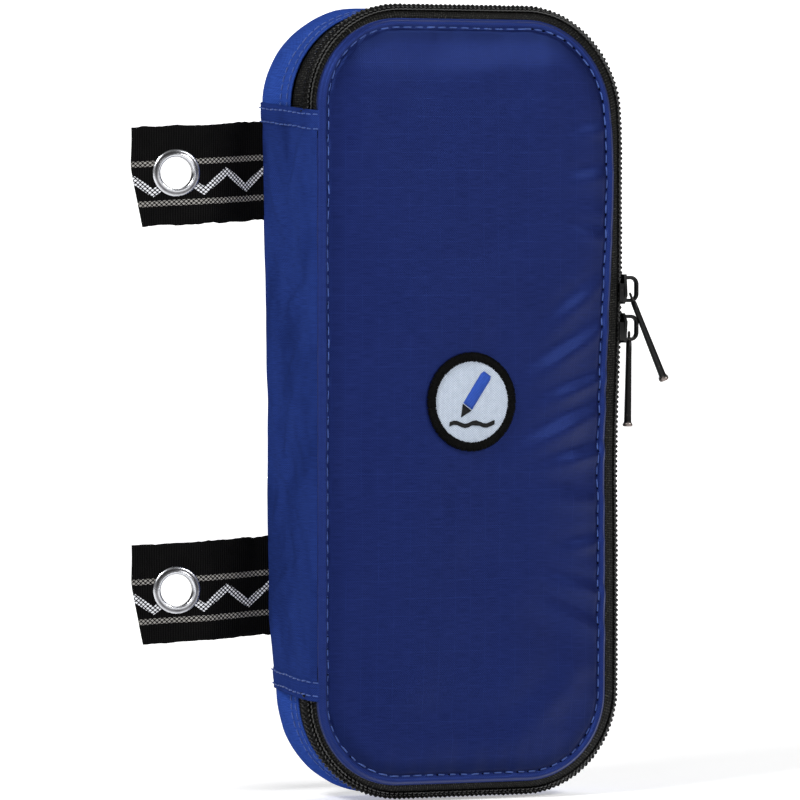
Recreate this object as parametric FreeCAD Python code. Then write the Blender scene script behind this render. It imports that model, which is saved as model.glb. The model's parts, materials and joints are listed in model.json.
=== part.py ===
"""Zip-around pouch for a ring binder: padded rear shell, padded cover on a fabric spine, coil
zip with two sliders, and two webbing tabs with eyelets. Millimetres, +Z up, cover facing -Y."""
import FreeCAD, Part
import math
import os

os.makedirs("parts", exist_ok=True)
V = FreeCAD.Vector

# ---------------------------------------------------------------- driving values
PANEL_W = 82.0            # cover panel, edge to edge
PANEL_H = 198.0
PANEL_R = 24.0
WALL_RIGHT_OUT = 4.5      # how far the zip wall stands outside the panel on the opening side
WALL_END_OUT = 2.0        # the same at the top and bottom
WALL_R = 25.0
DEPTH = 33.0              # cover's outer face to the back

CLOTH = 0.5               # one layer of ripstop nylon with its coating
TAPE = 0.6                # woven zip tape
LINING = 0.4
PAD = 2.0                 # sheet foam inside the two panels
SEAM_IN = 3.0             # pad edge to panel edge, where the seam allowance lies
BINDING_W = 1.2
BINDING_D = 2.0

ZIP_Y = 7.0               # centre of the coil behind the cover's face
COIL_GAP = 0.6            # between the two rows of teeth
COIL_W = 4.4              # both rows across
COIL_T = 2.1
COIL_EASE = 0.6           # bevel on the coil's outer corner
TAPE_BEND = 4.6           # where the cover's tape turns from the slope to the coil
GUSSET_Y = 17.0           # front edge of the rear gusset
SPINE_END = 76.0          # the spine's hems above and below the middle
SPINE_T = 0.9             # spine cloth with its lining
TAPE_TUCK = 10.0          # how far the zip's ends run under the spine
GUSSET_TUCK = 3.8         # gusset's ends under the spine's hems
FOLD_HALF = 1.2           # bare fold line left on each side of the cover's hinge
FOLD_OUT = 0.2            # hinge line outside the coil's outer face

STITCH_IN = 2.3           # cover's stitch row to the panel's edge
STITCH_W = 0.5
STITCH_T = 0.2

PATCH_R = 12.5
PATCH_BORDER_W = 2.2
PATCH_BORDER_T = 1.0
PATCH_FIELD_T = 0.8
MOTIF_T = 0.2

RING_SPACING = 108.0      # ring to ring in a three-ring binder
RING_Z = 5.2              # middle of the two holes above the pouch's middle
WEB_H = 25.4              # one-inch webbing
WEB_T = 1.8               # folded double
WEB_Y = DEPTH - 2.4
WEB_END_X = -81.0
HOLE_X = -68.0
HOLE_R = 3.95
EYELET_WALL = 0.35
EYELET_R = 6.0
EYELET_RISE = 0.9
WASHER_R = 6.2
WASHER_T = 0.5
ROOT_OUT = 0.7            # webbing showing between the seam and the fold
ROOT_IN = 1.6
TAB_GAP = 0.3

SLIDER_L = 7.8
SLIDER_NOSE_W = 6.8
SLIDER_TAIL_W = 5.6
SLIDER_PLATE = 0.8
SLIDER_INNER_W = 4.4
SLIDER_CLEAR = 0.25
FLANGE_T = 0.6
FLANGE_D = 1.4
WEB_PLATE = 0.3           # the slider's post, where it runs between the rows of teeth
WEB_PLATE_L = 3.0
UPPER_SLIDER_Z = 29.0
SLIDER_PITCH = 10.2       # upper slider to lower slider
CROWN_H = 6.9
CROWN_OUT = 3.3
CROWN_WIRE = 0.9
CROWN_W = 2.0
PULL_L = 24.2
PULL_W = 5.0
PULL_T = 1.1
PULL_ABOVE = 0.7          # pull's end above its pivot
EYE_BAR = 0.55            # pivot to the eye's upper edge
EYE_L = 3.2
EYE_W = 2.8
LIP_T = 2.2
LIP_L = 1.6
PIVOT_RISE = 0.85         # pivot above the inside of the crown's lower leg
PIVOT_OUT = 1.25          # pivot outside the slider's outer plate
UPPER_LEAN = 24.0         # upper pull leans out over the lower crown

# ---------------------------------------------------------------- derived values
PANEL = (-PANEL_W / 2, PANEL_W / 2, -PANEL_H / 2, PANEL_H / 2, PANEL_R)
WALL = (
    -PANEL_W / 2,
    PANEL_W / 2 + WALL_RIGHT_OUT,
    -PANEL_H / 2 - WALL_END_OUT,
    PANEL_H / 2 + WALL_END_OUT,
    WALL_R,
)
WALL_LEFT = WALL[0]
WALL_RIGHT = WALL[1]
COIL_FRONT = ZIP_Y - COIL_W / 2
COIL_BACK = ZIP_Y + COIL_W / 2
TEETH_FRONT = ZIP_Y - COIL_GAP / 2
TEETH_BACK = ZIP_Y + COIL_GAP / 2
HINGE_X = WALL_LEFT - COIL_T - FOLD_OUT
TAPE_END = SPINE_END - TAPE_TUCK
LOWER_SLIDER_Z = UPPER_SLIDER_Z - SLIDER_PITCH
PLATE_X = WALL_RIGHT + COIL_T + SLIDER_CLEAR
CROWN_X = PLATE_X + SLIDER_PLATE
WEB_R = WEB_T / 2
ROOT_TIP = WALL_LEFT - SPINE_T - ROOT_OUT
TAB_HINGE_X = ROOT_TIP - TAB_GAP - WEB_R
ORIGIN = V(HOLE_X, WEB_Y, RING_Z)


# ---------------------------------------------------------------- shape helpers
def grow(o, d):
    """The outline o moved outward by d."""
    return (o[0] - d, o[1] + d, o[2] - d, o[3] + d, o[4] + d)


def loop(o, y):
    """Closed rounded rectangle in the plane at y."""
    x0, x1, z0, z1, r = o
    k = r * (1 - math.sqrt(0.5))
    lines = [
        (V(x0 + r, y, z0), V(x1 - r, y, z0)),
        (V(x1, y, z0 + r), V(x1, y, z1 - r)),
        (V(x1 - r, y, z1), V(x0 + r, y, z1)),
        (V(x0, y, z1 - r), V(x0, y, z0 + r)),
    ]
    mids = [
        V(x1 - k, y, z0 + k),
        V(x1 - k, y, z1 - k),
        V(x0 + k, y, z1 - k),
        V(x0 + k, y, z0 + k),
    ]
    edges = []
    for i in range(4):
        a, b = lines[i]
        c = lines[(i + 1) % 4][0]
        edges.append(Part.makeLine(a, b))
        edges.append(Part.Arc(b, mids[i], c).toShape())
    return Part.Wire(edges)


def slab(o, y0, y1):
    return Part.Face(loop(o, y0)).extrude(V(0, y1 - y0, 0))


def ring(outer, inner, y0, y1):
    return slab(outer, y0, y1).cut(slab(inner, y0 - 1, y1 + 1))


def skirt(outer, inner):
    """Wall between two stacks of outlines, each a list of (outline, y)."""
    solid = Part.makeLoft([loop(o, y) for o, y in outer], True, True)
    core = Part.makeLoft([loop(o, y) for o, y in inner], True, True)
    return solid.cut(core)


def box(x0, x1, y0, y1, z0, z1):
    return Part.makeBox(x1 - x0, y1 - y0, z1 - z0, V(x0, y0, z0))


def open_at_spine(shape, half):
    """Cuts the wall away along the spine, between -half and +half in height."""
    return shape.cut(box(WALL_LEFT - 20, WALL_LEFT + 12, -5, DEPTH + 5, -half, half))


def poly_x(points, x0, x1):
    """Prism along X from a polygon of (y, z)."""
    pts = [V(x0, y, z) for y, z in points]
    return Part.Face(Part.makePolygon(pts + [pts[0]])).extrude(V(x1 - x0, 0, 0))


def poly_y(points, y0, y1):
    """Prism along Y from a polygon of (x, z)."""
    pts = [V(x, y0, z) for x, z in points]
    return Part.Face(Part.makePolygon(pts + [pts[0]])).extrude(V(0, y1 - y0, 0))


def disc(r, x, z, y0, y1):
    return Part.makeCylinder(r, y1 - y0, V(x, y0, z), V(0, 1, 0))


def export(name, shape):
    moved = shape.copy()
    moved.translate(ORIGIN * -1)
    solids = moved.Solids
    out = solids[0] if len(solids) == 1 else Part.makeCompound(solids)
    out.exportStep("parts/" + name + ".step")


# ---------------------------------------------------------------- rear shell
BACK_IN = DEPTH - CLOTH
export("rear_panel", slab(WALL, BACK_IN, DEPTH))
export("rear_pad", slab(grow(WALL, -SEAM_IN), BACK_IN - PAD, BACK_IN))
export("rear_lining", slab(grow(WALL, -SEAM_IN), BACK_IN - PAD - LINING, BACK_IN - PAD))

gusset = ring(grow(WALL, CLOTH), WALL, GUSSET_Y, DEPTH)
export("rear_gusset", open_at_spine(gusset, SPINE_END - GUSSET_TUCK))

rear_tape = ring(WALL, grow(WALL, -TAPE), TEETH_BACK, GUSSET_Y + SEAM_IN)
export("rear_zipper_tape", open_at_spine(rear_tape, TAPE_END))

coil_low = grow(WALL, COIL_T - COIL_EASE)
coil_top = grow(WALL, COIL_T)
rear_coil = skirt(
    [(coil_top, TEETH_BACK), (coil_top, COIL_BACK - COIL_EASE), (coil_low, COIL_BACK)],
    [(WALL, TEETH_BACK), (WALL, COIL_BACK)],
)
export("rear_zipper_coil", open_at_spine(rear_coil, SPINE_END))

stitch_y = GUSSET_Y + STITCH_IN
rear_stitch = ring(grow(WALL, CLOTH + STITCH_T), grow(WALL, CLOTH), stitch_y, stitch_y + STITCH_W)
export("rear_topstitch", open_at_spine(rear_stitch, SPINE_END))

# webbing roots sewn into the seam between the spine and the rear panel
roots = {}
for name, side in (("upper", 1), ("lower", -1)):
    mid = RING_Z + side * RING_SPACING / 2
    roots[name] = box(ROOT_TIP, WALL_LEFT + ROOT_IN, WEB_Y - WEB_R, WEB_Y + WEB_R,
                      mid - WEB_H / 2, mid + WEB_H / 2)
    export("tab_root_" + name, roots[name])

binding = ring(WALL, grow(WALL, -BINDING_W), BACK_IN - BINDING_D, BACK_IN)
for root in roots.values():
    binding = binding.cut(root)
export("rear_seam_binding", binding)

spine_rear = box(WALL_LEFT - SPINE_T, WALL_LEFT, ZIP_Y + FOLD_HALF, DEPTH, -SPINE_END, SPINE_END)
spine_rear = spine_rear.cut(gusset.cut(box(-200, 200, -5, DEPTH + 5,
                                           GUSSET_TUCK - SPINE_END, SPINE_END - GUSSET_TUCK)))
for root in roots.values():
    spine_rear = spine_rear.cut(root)
export("spine_rear", spine_rear)

# ---------------------------------------------------------------- cover
export("front_panel", slab(PANEL, 0, CLOTH))
export("front_pad", slab(grow(PANEL, -SEAM_IN), CLOTH, CLOTH + PAD))
export("front_lining", slab(grow(PANEL, -SEAM_IN), CLOTH + PAD, CLOTH + PAD + LINING))

front_tape = skirt(
    [(PANEL, CLOTH), (WALL, TAPE_BEND), (WALL, TEETH_FRONT)],
    [(grow(PANEL, -TAPE), CLOTH), (grow(WALL, -TAPE), TAPE_BEND), (grow(WALL, -TAPE), TEETH_FRONT)],
)
export("front_zipper_tape", open_at_spine(front_tape, TAPE_END))

front_coil = skirt(
    [(coil_low, COIL_FRONT), (coil_top, COIL_FRONT + COIL_EASE), (coil_top, TEETH_FRONT)],
    [(WALL, COIL_FRONT), (WALL, TEETH_FRONT)],
)
export("front_zipper_coil", open_at_spine(front_coil, SPINE_END))

front_binding = ring(grow(PANEL, -TAPE), grow(PANEL, -TAPE - BINDING_W), CLOTH, CLOTH + BINDING_D)
export("front_seam_binding", front_binding)

row = grow(PANEL, -STITCH_IN)
export("front_topstitch", ring(row, grow(row, -STITCH_W), -STITCH_T, 0))

export("spine_front", box(WALL_LEFT - SPINE_T, WALL_LEFT, 0, ZIP_Y - FOLD_HALF, -SPINE_END, SPINE_END))

# round embroidered patch with a plain pencil-and-line motif
FIELD_R = PATCH_R - PATCH_BORDER_W
export("patch_field", disc(FIELD_R, 0, 0, -PATCH_FIELD_T, 0))
border = disc(PATCH_R, 0, 0, -PATCH_BORDER_T, 0).cut(disc(FIELD_R, 0, 0, -PATCH_BORDER_T - 1, 1))
export("patch_border", border)

pencil = [(-1.2, -3.4), (0, -6.0), (1.2, -3.4), (1.2, 6.0), (-1.2, 6.0)]
pencil = poly_y(pencil, -PATCH_FIELD_T - MOTIF_T, -PATCH_FIELD_T)
pencil.rotate(V(0, 0, 0), V(0, 1, 0), 35)
pencil.translate(V(1.0, 0, 0.9))
export("motif_pencil", pencil)
stroke = [(-4.6, -6.3), (5.0, -6.3), (5.0, -5.2), (-4.6, -5.2)]
export("motif_line", poly_y(stroke, -PATCH_FIELD_T - MOTIF_T, -PATCH_FIELD_T))


# ---------------------------------------------------------------- sliders and pulls
def slider_body(z, nose):
    """Two plates joined by the post; nose is +1 or -1, the end where the teeth part."""
    tail = -nose
    half = SLIDER_L / 2
    wide = SLIDER_NOSE_W / 2
    slim = SLIDER_TAIL_W / 2
    outline = [
        (ZIP_Y - slim, z + tail * half),
        (ZIP_Y + slim, z + tail * half),
        (ZIP_Y + wide, z + nose * (half - 2.2)),
        (ZIP_Y + wide - 1.6, z + nose * half),
        (ZIP_Y - wide + 1.6, z + nose * half),
        (ZIP_Y - wide, z + nose * (half - 2.2)),
    ]
    body = poly_x(outline, PLATE_X, PLATE_X + SLIDER_PLATE)
    inner_x = WALL_RIGHT - TAPE - SLIDER_CLEAR
    inner = SLIDER_INNER_W / 2
    body = body.fuse(box(inner_x - SLIDER_PLATE, inner_x, ZIP_Y - inner, ZIP_Y + inner,
                         z - half, z + half))
    post0 = z + nose * (half - WEB_PLATE_L)
    post1 = z + nose * half
    body = body.fuse(box(inner_x - 0.1, PLATE_X + 0.1, ZIP_Y - WEB_PLATE / 2, ZIP_Y + WEB_PLATE / 2,
                         min(post0, post1), max(post0, post1)))
    for s in (-1, 1):
        y0 = ZIP_Y + s * (slim + 0.2)
        y1 = y0 - s * FLANGE_T
        body = body.fuse(box(PLATE_X - FLANGE_D, PLATE_X + 0.1, min(y0, y1), max(y0, y1),
                             z - half + 0.6, z + half - 2.4))
    return body.removeSplitter()


def crown(z):
    """Loop of strip standing on the slider's outer plate."""
    x0 = CROWN_X - 3
    x1 = CROWN_X + CROWN_OUT
    outer = box(x0, x1, ZIP_Y - CROWN_W / 2, ZIP_Y + CROWN_W / 2, z - CROWN_H / 2, z + CROWN_H / 2)
    inner = box(x0, x1 - CROWN_WIRE, ZIP_Y - CROWN_W, ZIP_Y + CROWN_W,
                z - CROWN_H / 2 + CROWN_WIRE, z + CROWN_H / 2 - CROWN_WIRE)
    outer = outer.makeFillet(1.8, [e for e in outer.Edges if along_y(e, x1)])
    inner = inner.makeFillet(0.9, [e for e in inner.Edges if along_y(e, x1 - CROWN_WIRE)])
    loop_solid = outer.cut(inner)
    return loop_solid.cut(box(x0 - 1, CROWN_X, 0, 2 * ZIP_Y, z - CROWN_H, z + CROWN_H))


def along_y(edge, x):
    a = edge.Vertexes[0].Point
    b = edge.Vertexes[-1].Point
    return abs(a.x - x) < 1e-6 and abs(b.x - x) < 1e-6 and abs(a.z - b.z) < 1e-6


def pull(z):
    """Flat tab with an eye at its upper end and a thick lip at its lower end."""
    px = CROWN_X + PIVOT_OUT
    pz = z - CROWN_H / 2 + CROWN_WIRE + PIVOT_RISE
    top = pz + PULL_ABOVE
    low = top - PULL_L
    w = PULL_W / 2
    face = [
        (ZIP_Y - w, low),
        (ZIP_Y + w, low),
        (ZIP_Y + w, top - 0.8),
        (ZIP_Y + w - 0.8, top),
        (ZIP_Y - w + 0.8, top),
        (ZIP_Y - w, top - 0.8),
    ]
    tab = poly_x(face, px - PULL_T / 2, px + PULL_T / 2)
    eye = box(px - PULL_T, px + PULL_T, ZIP_Y - EYE_W / 2, ZIP_Y + EYE_W / 2,
              pz - EYE_BAR - EYE_L, pz - EYE_BAR)
    lip = box(px - LIP_T / 2, px + LIP_T / 2, ZIP_Y - w, ZIP_Y + w, low, low + LIP_L)
    return tab.cut(eye).fuse(lip).removeSplitter(), V(px, ZIP_Y, pz)


for name, z, nose, lean in (("upper", UPPER_SLIDER_Z, -1, UPPER_LEAN), ("lower", LOWER_SLIDER_Z, 1, 0.0)):
    export("slider_body_" + name, slider_body(z, nose))
    export("slider_crown_" + name, crown(z))
    tab, pivot = pull(z)
    tab.rotate(pivot, V(0, 1, 0), -lean)
    export("pull_" + name, tab)

# ---------------------------------------------------------------- binder tabs
for name, side in (("upper", 1), ("lower", -1)):
    mid = RING_Z + side * RING_SPACING / 2
    web = box(WEB_END_X, TAB_HINGE_X, WEB_Y - WEB_R, WEB_Y + WEB_R, mid - WEB_H / 2, mid + WEB_H / 2)
    fold = Part.makeCylinder(WEB_R, WEB_H, V(TAB_HINGE_X, WEB_Y, mid - WEB_H / 2), V(0, 0, 1))
    barrel_r = HOLE_R + EYELET_WALL
    web = web.fuse(fold).removeSplitter()
    web = web.cut(disc(barrel_r, HOLE_X, mid, WEB_Y - 5, WEB_Y + 5))
    export("tab_webbing_" + name, web)

    face_y = WEB_Y - WEB_R
    back_y = WEB_Y + WEB_R
    profile = [
        (HOLE_R, back_y + WASHER_T + 0.1),
        (HOLE_R, face_y - EYELET_RISE + 0.4),
        (HOLE_R + 0.5, face_y - EYELET_RISE),
        (EYELET_R - 0.7, face_y - EYELET_RISE),
        (EYELET_R, face_y - 0.35),
        (EYELET_R, face_y),
        (barrel_r, face_y),
        (barrel_r, back_y + WASHER_T + 0.1),
    ]
    pts = [V(HOLE_X + r, y, mid) for r, y in profile]
    eyelet = Part.Face(Part.makePolygon(pts + [pts[0]])).revolve(V(HOLE_X, 0, mid), V(0, 1, 0), 360)
    export("eyelet_" + name, eyelet)
    washer = disc(WASHER_R, HOLE_X, mid, back_y, back_y + WASHER_T)
    export("washer_" + name, washer.cut(disc(barrel_r, HOLE_X, mid, back_y - 1, back_y + 2)))
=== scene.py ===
import json
import math

import bmesh
import bpy
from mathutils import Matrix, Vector, noise
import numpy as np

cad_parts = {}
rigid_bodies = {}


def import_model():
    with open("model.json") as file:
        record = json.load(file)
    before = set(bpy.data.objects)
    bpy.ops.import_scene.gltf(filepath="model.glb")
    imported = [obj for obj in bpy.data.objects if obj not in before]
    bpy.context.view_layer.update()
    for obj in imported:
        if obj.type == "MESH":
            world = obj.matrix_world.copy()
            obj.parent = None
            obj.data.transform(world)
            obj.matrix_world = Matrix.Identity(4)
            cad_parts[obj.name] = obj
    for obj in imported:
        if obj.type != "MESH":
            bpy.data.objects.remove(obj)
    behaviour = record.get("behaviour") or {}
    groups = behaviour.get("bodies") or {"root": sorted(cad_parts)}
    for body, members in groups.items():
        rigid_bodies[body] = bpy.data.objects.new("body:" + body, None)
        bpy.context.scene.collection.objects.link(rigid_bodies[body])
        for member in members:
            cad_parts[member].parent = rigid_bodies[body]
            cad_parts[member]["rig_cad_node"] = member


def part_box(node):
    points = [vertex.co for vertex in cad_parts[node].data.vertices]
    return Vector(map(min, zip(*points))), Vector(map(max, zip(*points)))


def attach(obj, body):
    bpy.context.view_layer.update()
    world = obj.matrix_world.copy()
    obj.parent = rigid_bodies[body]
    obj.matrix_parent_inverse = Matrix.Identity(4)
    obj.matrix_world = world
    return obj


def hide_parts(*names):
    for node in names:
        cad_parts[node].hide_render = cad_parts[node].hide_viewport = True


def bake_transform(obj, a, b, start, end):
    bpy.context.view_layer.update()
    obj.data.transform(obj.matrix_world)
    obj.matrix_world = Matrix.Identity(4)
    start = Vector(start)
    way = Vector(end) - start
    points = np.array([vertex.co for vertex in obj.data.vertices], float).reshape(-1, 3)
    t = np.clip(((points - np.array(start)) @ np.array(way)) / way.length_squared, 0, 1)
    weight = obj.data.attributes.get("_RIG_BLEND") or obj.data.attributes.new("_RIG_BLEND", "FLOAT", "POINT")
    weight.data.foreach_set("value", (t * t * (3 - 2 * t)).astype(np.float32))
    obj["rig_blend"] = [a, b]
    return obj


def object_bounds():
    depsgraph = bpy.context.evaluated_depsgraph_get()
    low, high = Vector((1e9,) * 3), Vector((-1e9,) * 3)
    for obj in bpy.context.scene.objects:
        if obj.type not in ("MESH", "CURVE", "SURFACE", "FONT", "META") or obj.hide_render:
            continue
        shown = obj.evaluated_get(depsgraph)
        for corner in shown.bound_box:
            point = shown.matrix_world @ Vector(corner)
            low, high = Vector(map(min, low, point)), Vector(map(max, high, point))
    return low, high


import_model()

cad_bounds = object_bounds()
MM = 0.001

# ---------------------------------------------------------------- camera, light and floor
# The pouch is seen from its spine side and a little above, through a long lens, in soft studio
# light. The pale floor is wide, and a narrow pale backdrop curves up from it behind the pouch.
panel_low, panel_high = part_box("front_panel")
MID_X = (panel_low.x + panel_high.x) / 2
MID_Z = (panel_low.z + panel_high.z) / 2
FACE_Y = panel_low.y

VIEW_AZIMUTH = math.radians(-25.4)
VIEW_ELEVATION = math.radians(1.2)
VIEW_DISTANCE = 1.84
FIELD = 207.2 * MM
AIM_LEFT = 16.6 * MM
AIM_UP = 0.4 * MM
SENSOR = 36.0

right = Vector((math.cos(VIEW_AZIMUTH), math.sin(VIEW_AZIMUTH), 0))
ahead = Vector((-math.sin(VIEW_AZIMUTH) * math.cos(VIEW_ELEVATION),
                math.cos(VIEW_AZIMUTH) * math.cos(VIEW_ELEVATION), -math.sin(VIEW_ELEVATION)))
above = right.cross(ahead)
look_at = Vector((MID_X, FACE_Y, MID_Z)) - right * AIM_LEFT + above * AIM_UP
camera_data = bpy.data.cameras.new("camera")
camera_data.sensor_width = SENSOR
camera_data.lens = SENSOR * VIEW_DISTANCE / FIELD
camera_data.clip_end = 20
camera = bpy.data.objects.new("camera", camera_data)
camera.location = look_at - ahead * VIEW_DISTANCE
camera.rotation_euler = ahead.to_track_quat("-Z", "Y").to_euler()
bpy.context.scene.collection.objects.link(camera)
bpy.context.scene.camera = camera
bpy.context.scene.view_settings.view_transform = "Standard"


def softbox(name, place, aim, size, watts, colour=(1, 1, 1)):
    data = bpy.data.lights.new(name, "AREA")
    data.size = size
    data.energy = watts
    data.color = colour
    lamp = bpy.data.objects.new(name, data)
    lamp.location = place
    lamp.rotation_euler = (Vector(aim) - Vector(place)).to_track_quat("-Z", "Y").to_euler()
    bpy.context.scene.collection.objects.link(lamp)


centre = (MID_X, FACE_Y, MID_Z)
softbox("key", (MID_X + 0.45, -0.95, 0.72), centre, 0.3, 8.5)
softbox("side", (MID_X - 0.75, -0.45, 0.62), centre, 0.25, 9)
softbox("fill", (MID_X + 0.2, -1.2, -0.05), centre, 0.8, 0.5)
softbox("rim", (MID_X + 0.4, 0.9, 0.9), centre, 0.6, 5)

world = bpy.data.worlds.new("studio")
bpy.context.scene.world = world
world.use_nodes = True
world.node_tree.nodes["Background"].inputs["Color"].default_value = (1, 1, 1, 1)
world.node_tree.nodes["Background"].inputs["Strength"].default_value = 0.10

FLOOR_Z = cad_bounds[0][2] - 0.5 * MM
FLOOR_REACH = 30
BACKDROP_AWAY = 2.6
BACKDROP_HALF = 0.8
BACKDROP_CURVE = 0.5
BACKDROP_TOP = 1.6
BACKDROP_STEPS = 12
floor_verts = [(x * FLOOR_REACH, y * FLOOR_REACH, FLOOR_Z) for x, y in ((-1, -1), (1, -1), (1, 1), (-1, 1))]
floor_faces = [(0, 1, 2, 3)]
for i in range(BACKDROP_STEPS):
    turn = math.radians(min(9 * i, 90))
    away = BACKDROP_AWAY + BACKDROP_CURVE * math.sin(turn)
    rise = BACKDROP_CURVE - BACKDROP_CURVE * math.cos(turn)
    if i == BACKDROP_STEPS - 1:
        rise = BACKDROP_TOP
    for side in (-BACKDROP_HALF, BACKDROP_HALF):
        floor_verts.append((MID_X + ahead.x * away + right.x * side, ahead.y * away + right.y * side,
                            FLOOR_Z + (0.5 * MM + rise)))
    if i:
        floor_faces.append((2 + 2 * i, 3 + 2 * i, 5 + 2 * i, 4 + 2 * i))
floor_mesh = bpy.data.meshes.new("floor")
floor_mesh.from_pydata(floor_verts, [], floor_faces)
floor = bpy.data.objects.new("floor", floor_mesh)
bpy.context.scene.collection.objects.link(floor)
for label in ("pale_floor", "pale_backdrop"):
    paper = bpy.data.materials.new(label)
    paper.use_nodes = True
    paper_surface = paper.node_tree.nodes["Principled BSDF"]
    paper_surface.inputs["Base Color"].default_value = (0.9, 0.9, 0.9, 1)
    paper_surface.inputs["Roughness"].default_value = 0.9
    paper_surface.inputs["Emission Color"].default_value = (1, 1, 1, 1)
    paper_surface.inputs["Emission Strength"].default_value = 0.9
    floor_mesh.materials.append(paper)
# the floor brightens away from the pouch, so it stays white where the lamps fade
tree = floor_mesh.materials[0].node_tree
floor_place = tree.nodes.new("ShaderNodeTexCoord")
floor_far = tree.nodes.new("ShaderNodeVectorMath")
floor_far.operation = "LENGTH"
tree.links.new(floor_place.outputs["Object"], floor_far.inputs[0])
floor_glow = tree.nodes.new("ShaderNodeMapRange")
floor_glow.interpolation_type = "SMOOTHSTEP"
for slot, value in ((1, 0.25), (2, 1.3), (3, 0.4), (4, 0.9)):
    floor_glow.inputs[slot].default_value = value
tree.links.new(floor_far.outputs["Value"], floor_glow.inputs[0])
tree.links.new(floor_glow.outputs[0], tree.nodes["Principled BSDF"].inputs["Emission Strength"])
for poly in floor_mesh.polygons:
    poly.material_index = 0 if poly.index == 0 else 1

# ---------------------------------------------------------------- cover panel
# The pouch's front: ripstop nylon over sheet foam, sewn to the zip tape round its edge. A row of
# topstitching 2.3 mm inside the edge pulls the cloth down and leaves a narrow raised strip.
EDGE_STEPS = [0, 0.15, 0.4, 0.7, 1.05, 1.45, 1.8, 2.05, 2.3, 2.55, 2.85, 3.3, 4, 5, 6.2, 7.6, 9.2]
PANEL_R = 22.5 * MM
STITCH_IN = 2.3 * MM


def smooth(a, b, x):
    t = min(max((x - a) / (b - a), 0), 1)
    return t * t * (3 - 2 * t)


def edge_distance(x, z, half_w, half_h, radius):
    """How far (x, z) lies inside a rounded rectangle centred on the origin."""
    dx = abs(x) - (half_w - radius)
    dz = abs(z) - (half_h - radius)
    if dx > 0 and dz > 0:
        return radius - math.hypot(dx, dz)
    return min(half_w - abs(x), half_h - abs(z))


def finish_mesh(name, verts, faces, uvs=None):
    """A smooth-shaded object; uvs, where given, is its cloth map in metres, one per vertex."""
    mesh = bpy.data.meshes.new(name)
    mesh.from_pydata([tuple(v) for v in verts], [], faces)
    mesh.polygons.foreach_set("use_smooth", [True] * len(mesh.polygons))
    if uvs:
        layer = mesh.uv_layers.new(name="cloth")
        for poly in mesh.polygons:
            for k in poly.loop_indices:
                layer.data[k].uv = uvs[mesh.loops[k].vertex_index]
    mesh.update()
    obj = bpy.data.objects.new(name, mesh)
    bpy.context.scene.collection.objects.link(obj)
    return obj


def panel(name, mid, half_w, half_h, radius, face_y, back_y, relief):
    """A rounded panel: a dense face standing relief(x, z, d) out of face_y, and a back at back_y."""
    out = -1 if face_y < back_y else 1
    arc = 40
    rows = [half_h - radius + radius * math.cos(math.radians(90 * i / arc)) for i in range(arc)]
    straight = int((2 * (half_h - radius)) / (1.1 * MM))
    rows += [half_h - radius - 2 * (half_h - radius) * i / straight for i in range(straight)]
    rows += [-(half_h - radius) - radius * math.sin(math.radians(90 * i / arc)) for i in range(arc + 1)]
    steps = [e * MM for e in EDGE_STEPS]
    inner = 50
    verts = []
    uvs = []
    for z in rows:
        over = max(abs(z) - (half_h - radius), 0)
        edge = half_w - radius + math.sqrt(max(radius * radius - over * over, 0))
        span = edge - steps[-1]
        xs = [-edge + e for e in steps]
        xs += [-span + 2 * span * i / inner for i in range(1, inner)]
        xs += [edge - e for e in reversed(steps)]
        for x in xs:
            d = max(edge_distance(x, z, half_w, half_h, radius), 0)
            verts.append((mid[0] + x, face_y + out * relief(x, z, d), mid[1] + z))
            uvs.append((x, z))
    wide = 2 * len(steps) + inner - 1
    faces = []
    for j in range(len(rows) - 1):
        for i in range(wide - 1):
            a = j * wide + i
            quad = (a, a + wide, a + wide + 1, a + 1)
            faces.append(quad if out < 0 else quad[::-1])
    rim = list(range(wide))
    rim += [j * wide + wide - 1 for j in range(1, len(rows))]
    rim += [(len(rows) - 1) * wide + i for i in range(wide - 2, -1, -1)]
    rim += [j * wide for j in range(len(rows) - 2, 0, -1)]
    first = len(verts)
    count = len(rim)
    for i in range(count):
        quad = (rim[i], rim[(i + 1) % count], first + rim[(i + 1) % count], first + rim[i])
        faces.append(quad if out < 0 else quad[::-1])
    faces += [tuple(first + k for k in face[::-1]) for face in faces[:(len(rows) - 1) * (wide - 1)]]
    verts += [(x, back_y, z) for x, _, z in verts]
    uvs += uvs
    return finish_mesh(name, verts, faces, uvs)


def drift(x, z, across, along, seed):
    """Smooth random height, about -1 to 1, that changes over across and along millimetres."""
    return noise.noise(Vector((x / (across * MM), z / (along * MM), seed)))


def ripples(x, z, half_w, half_h, seed):
    """Short folds that run in from the nearest sewn edge, about -1 to 1."""
    side = math.exp(-(half_w - abs(x)) / (7 * MM))
    end = math.exp(-(half_h - abs(z)) / (7 * MM))
    along = drift(z, x, 4.2, 30, seed)
    across = drift(x, z, 4.2, 30, seed + 9)
    return side * along + end * across


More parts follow.
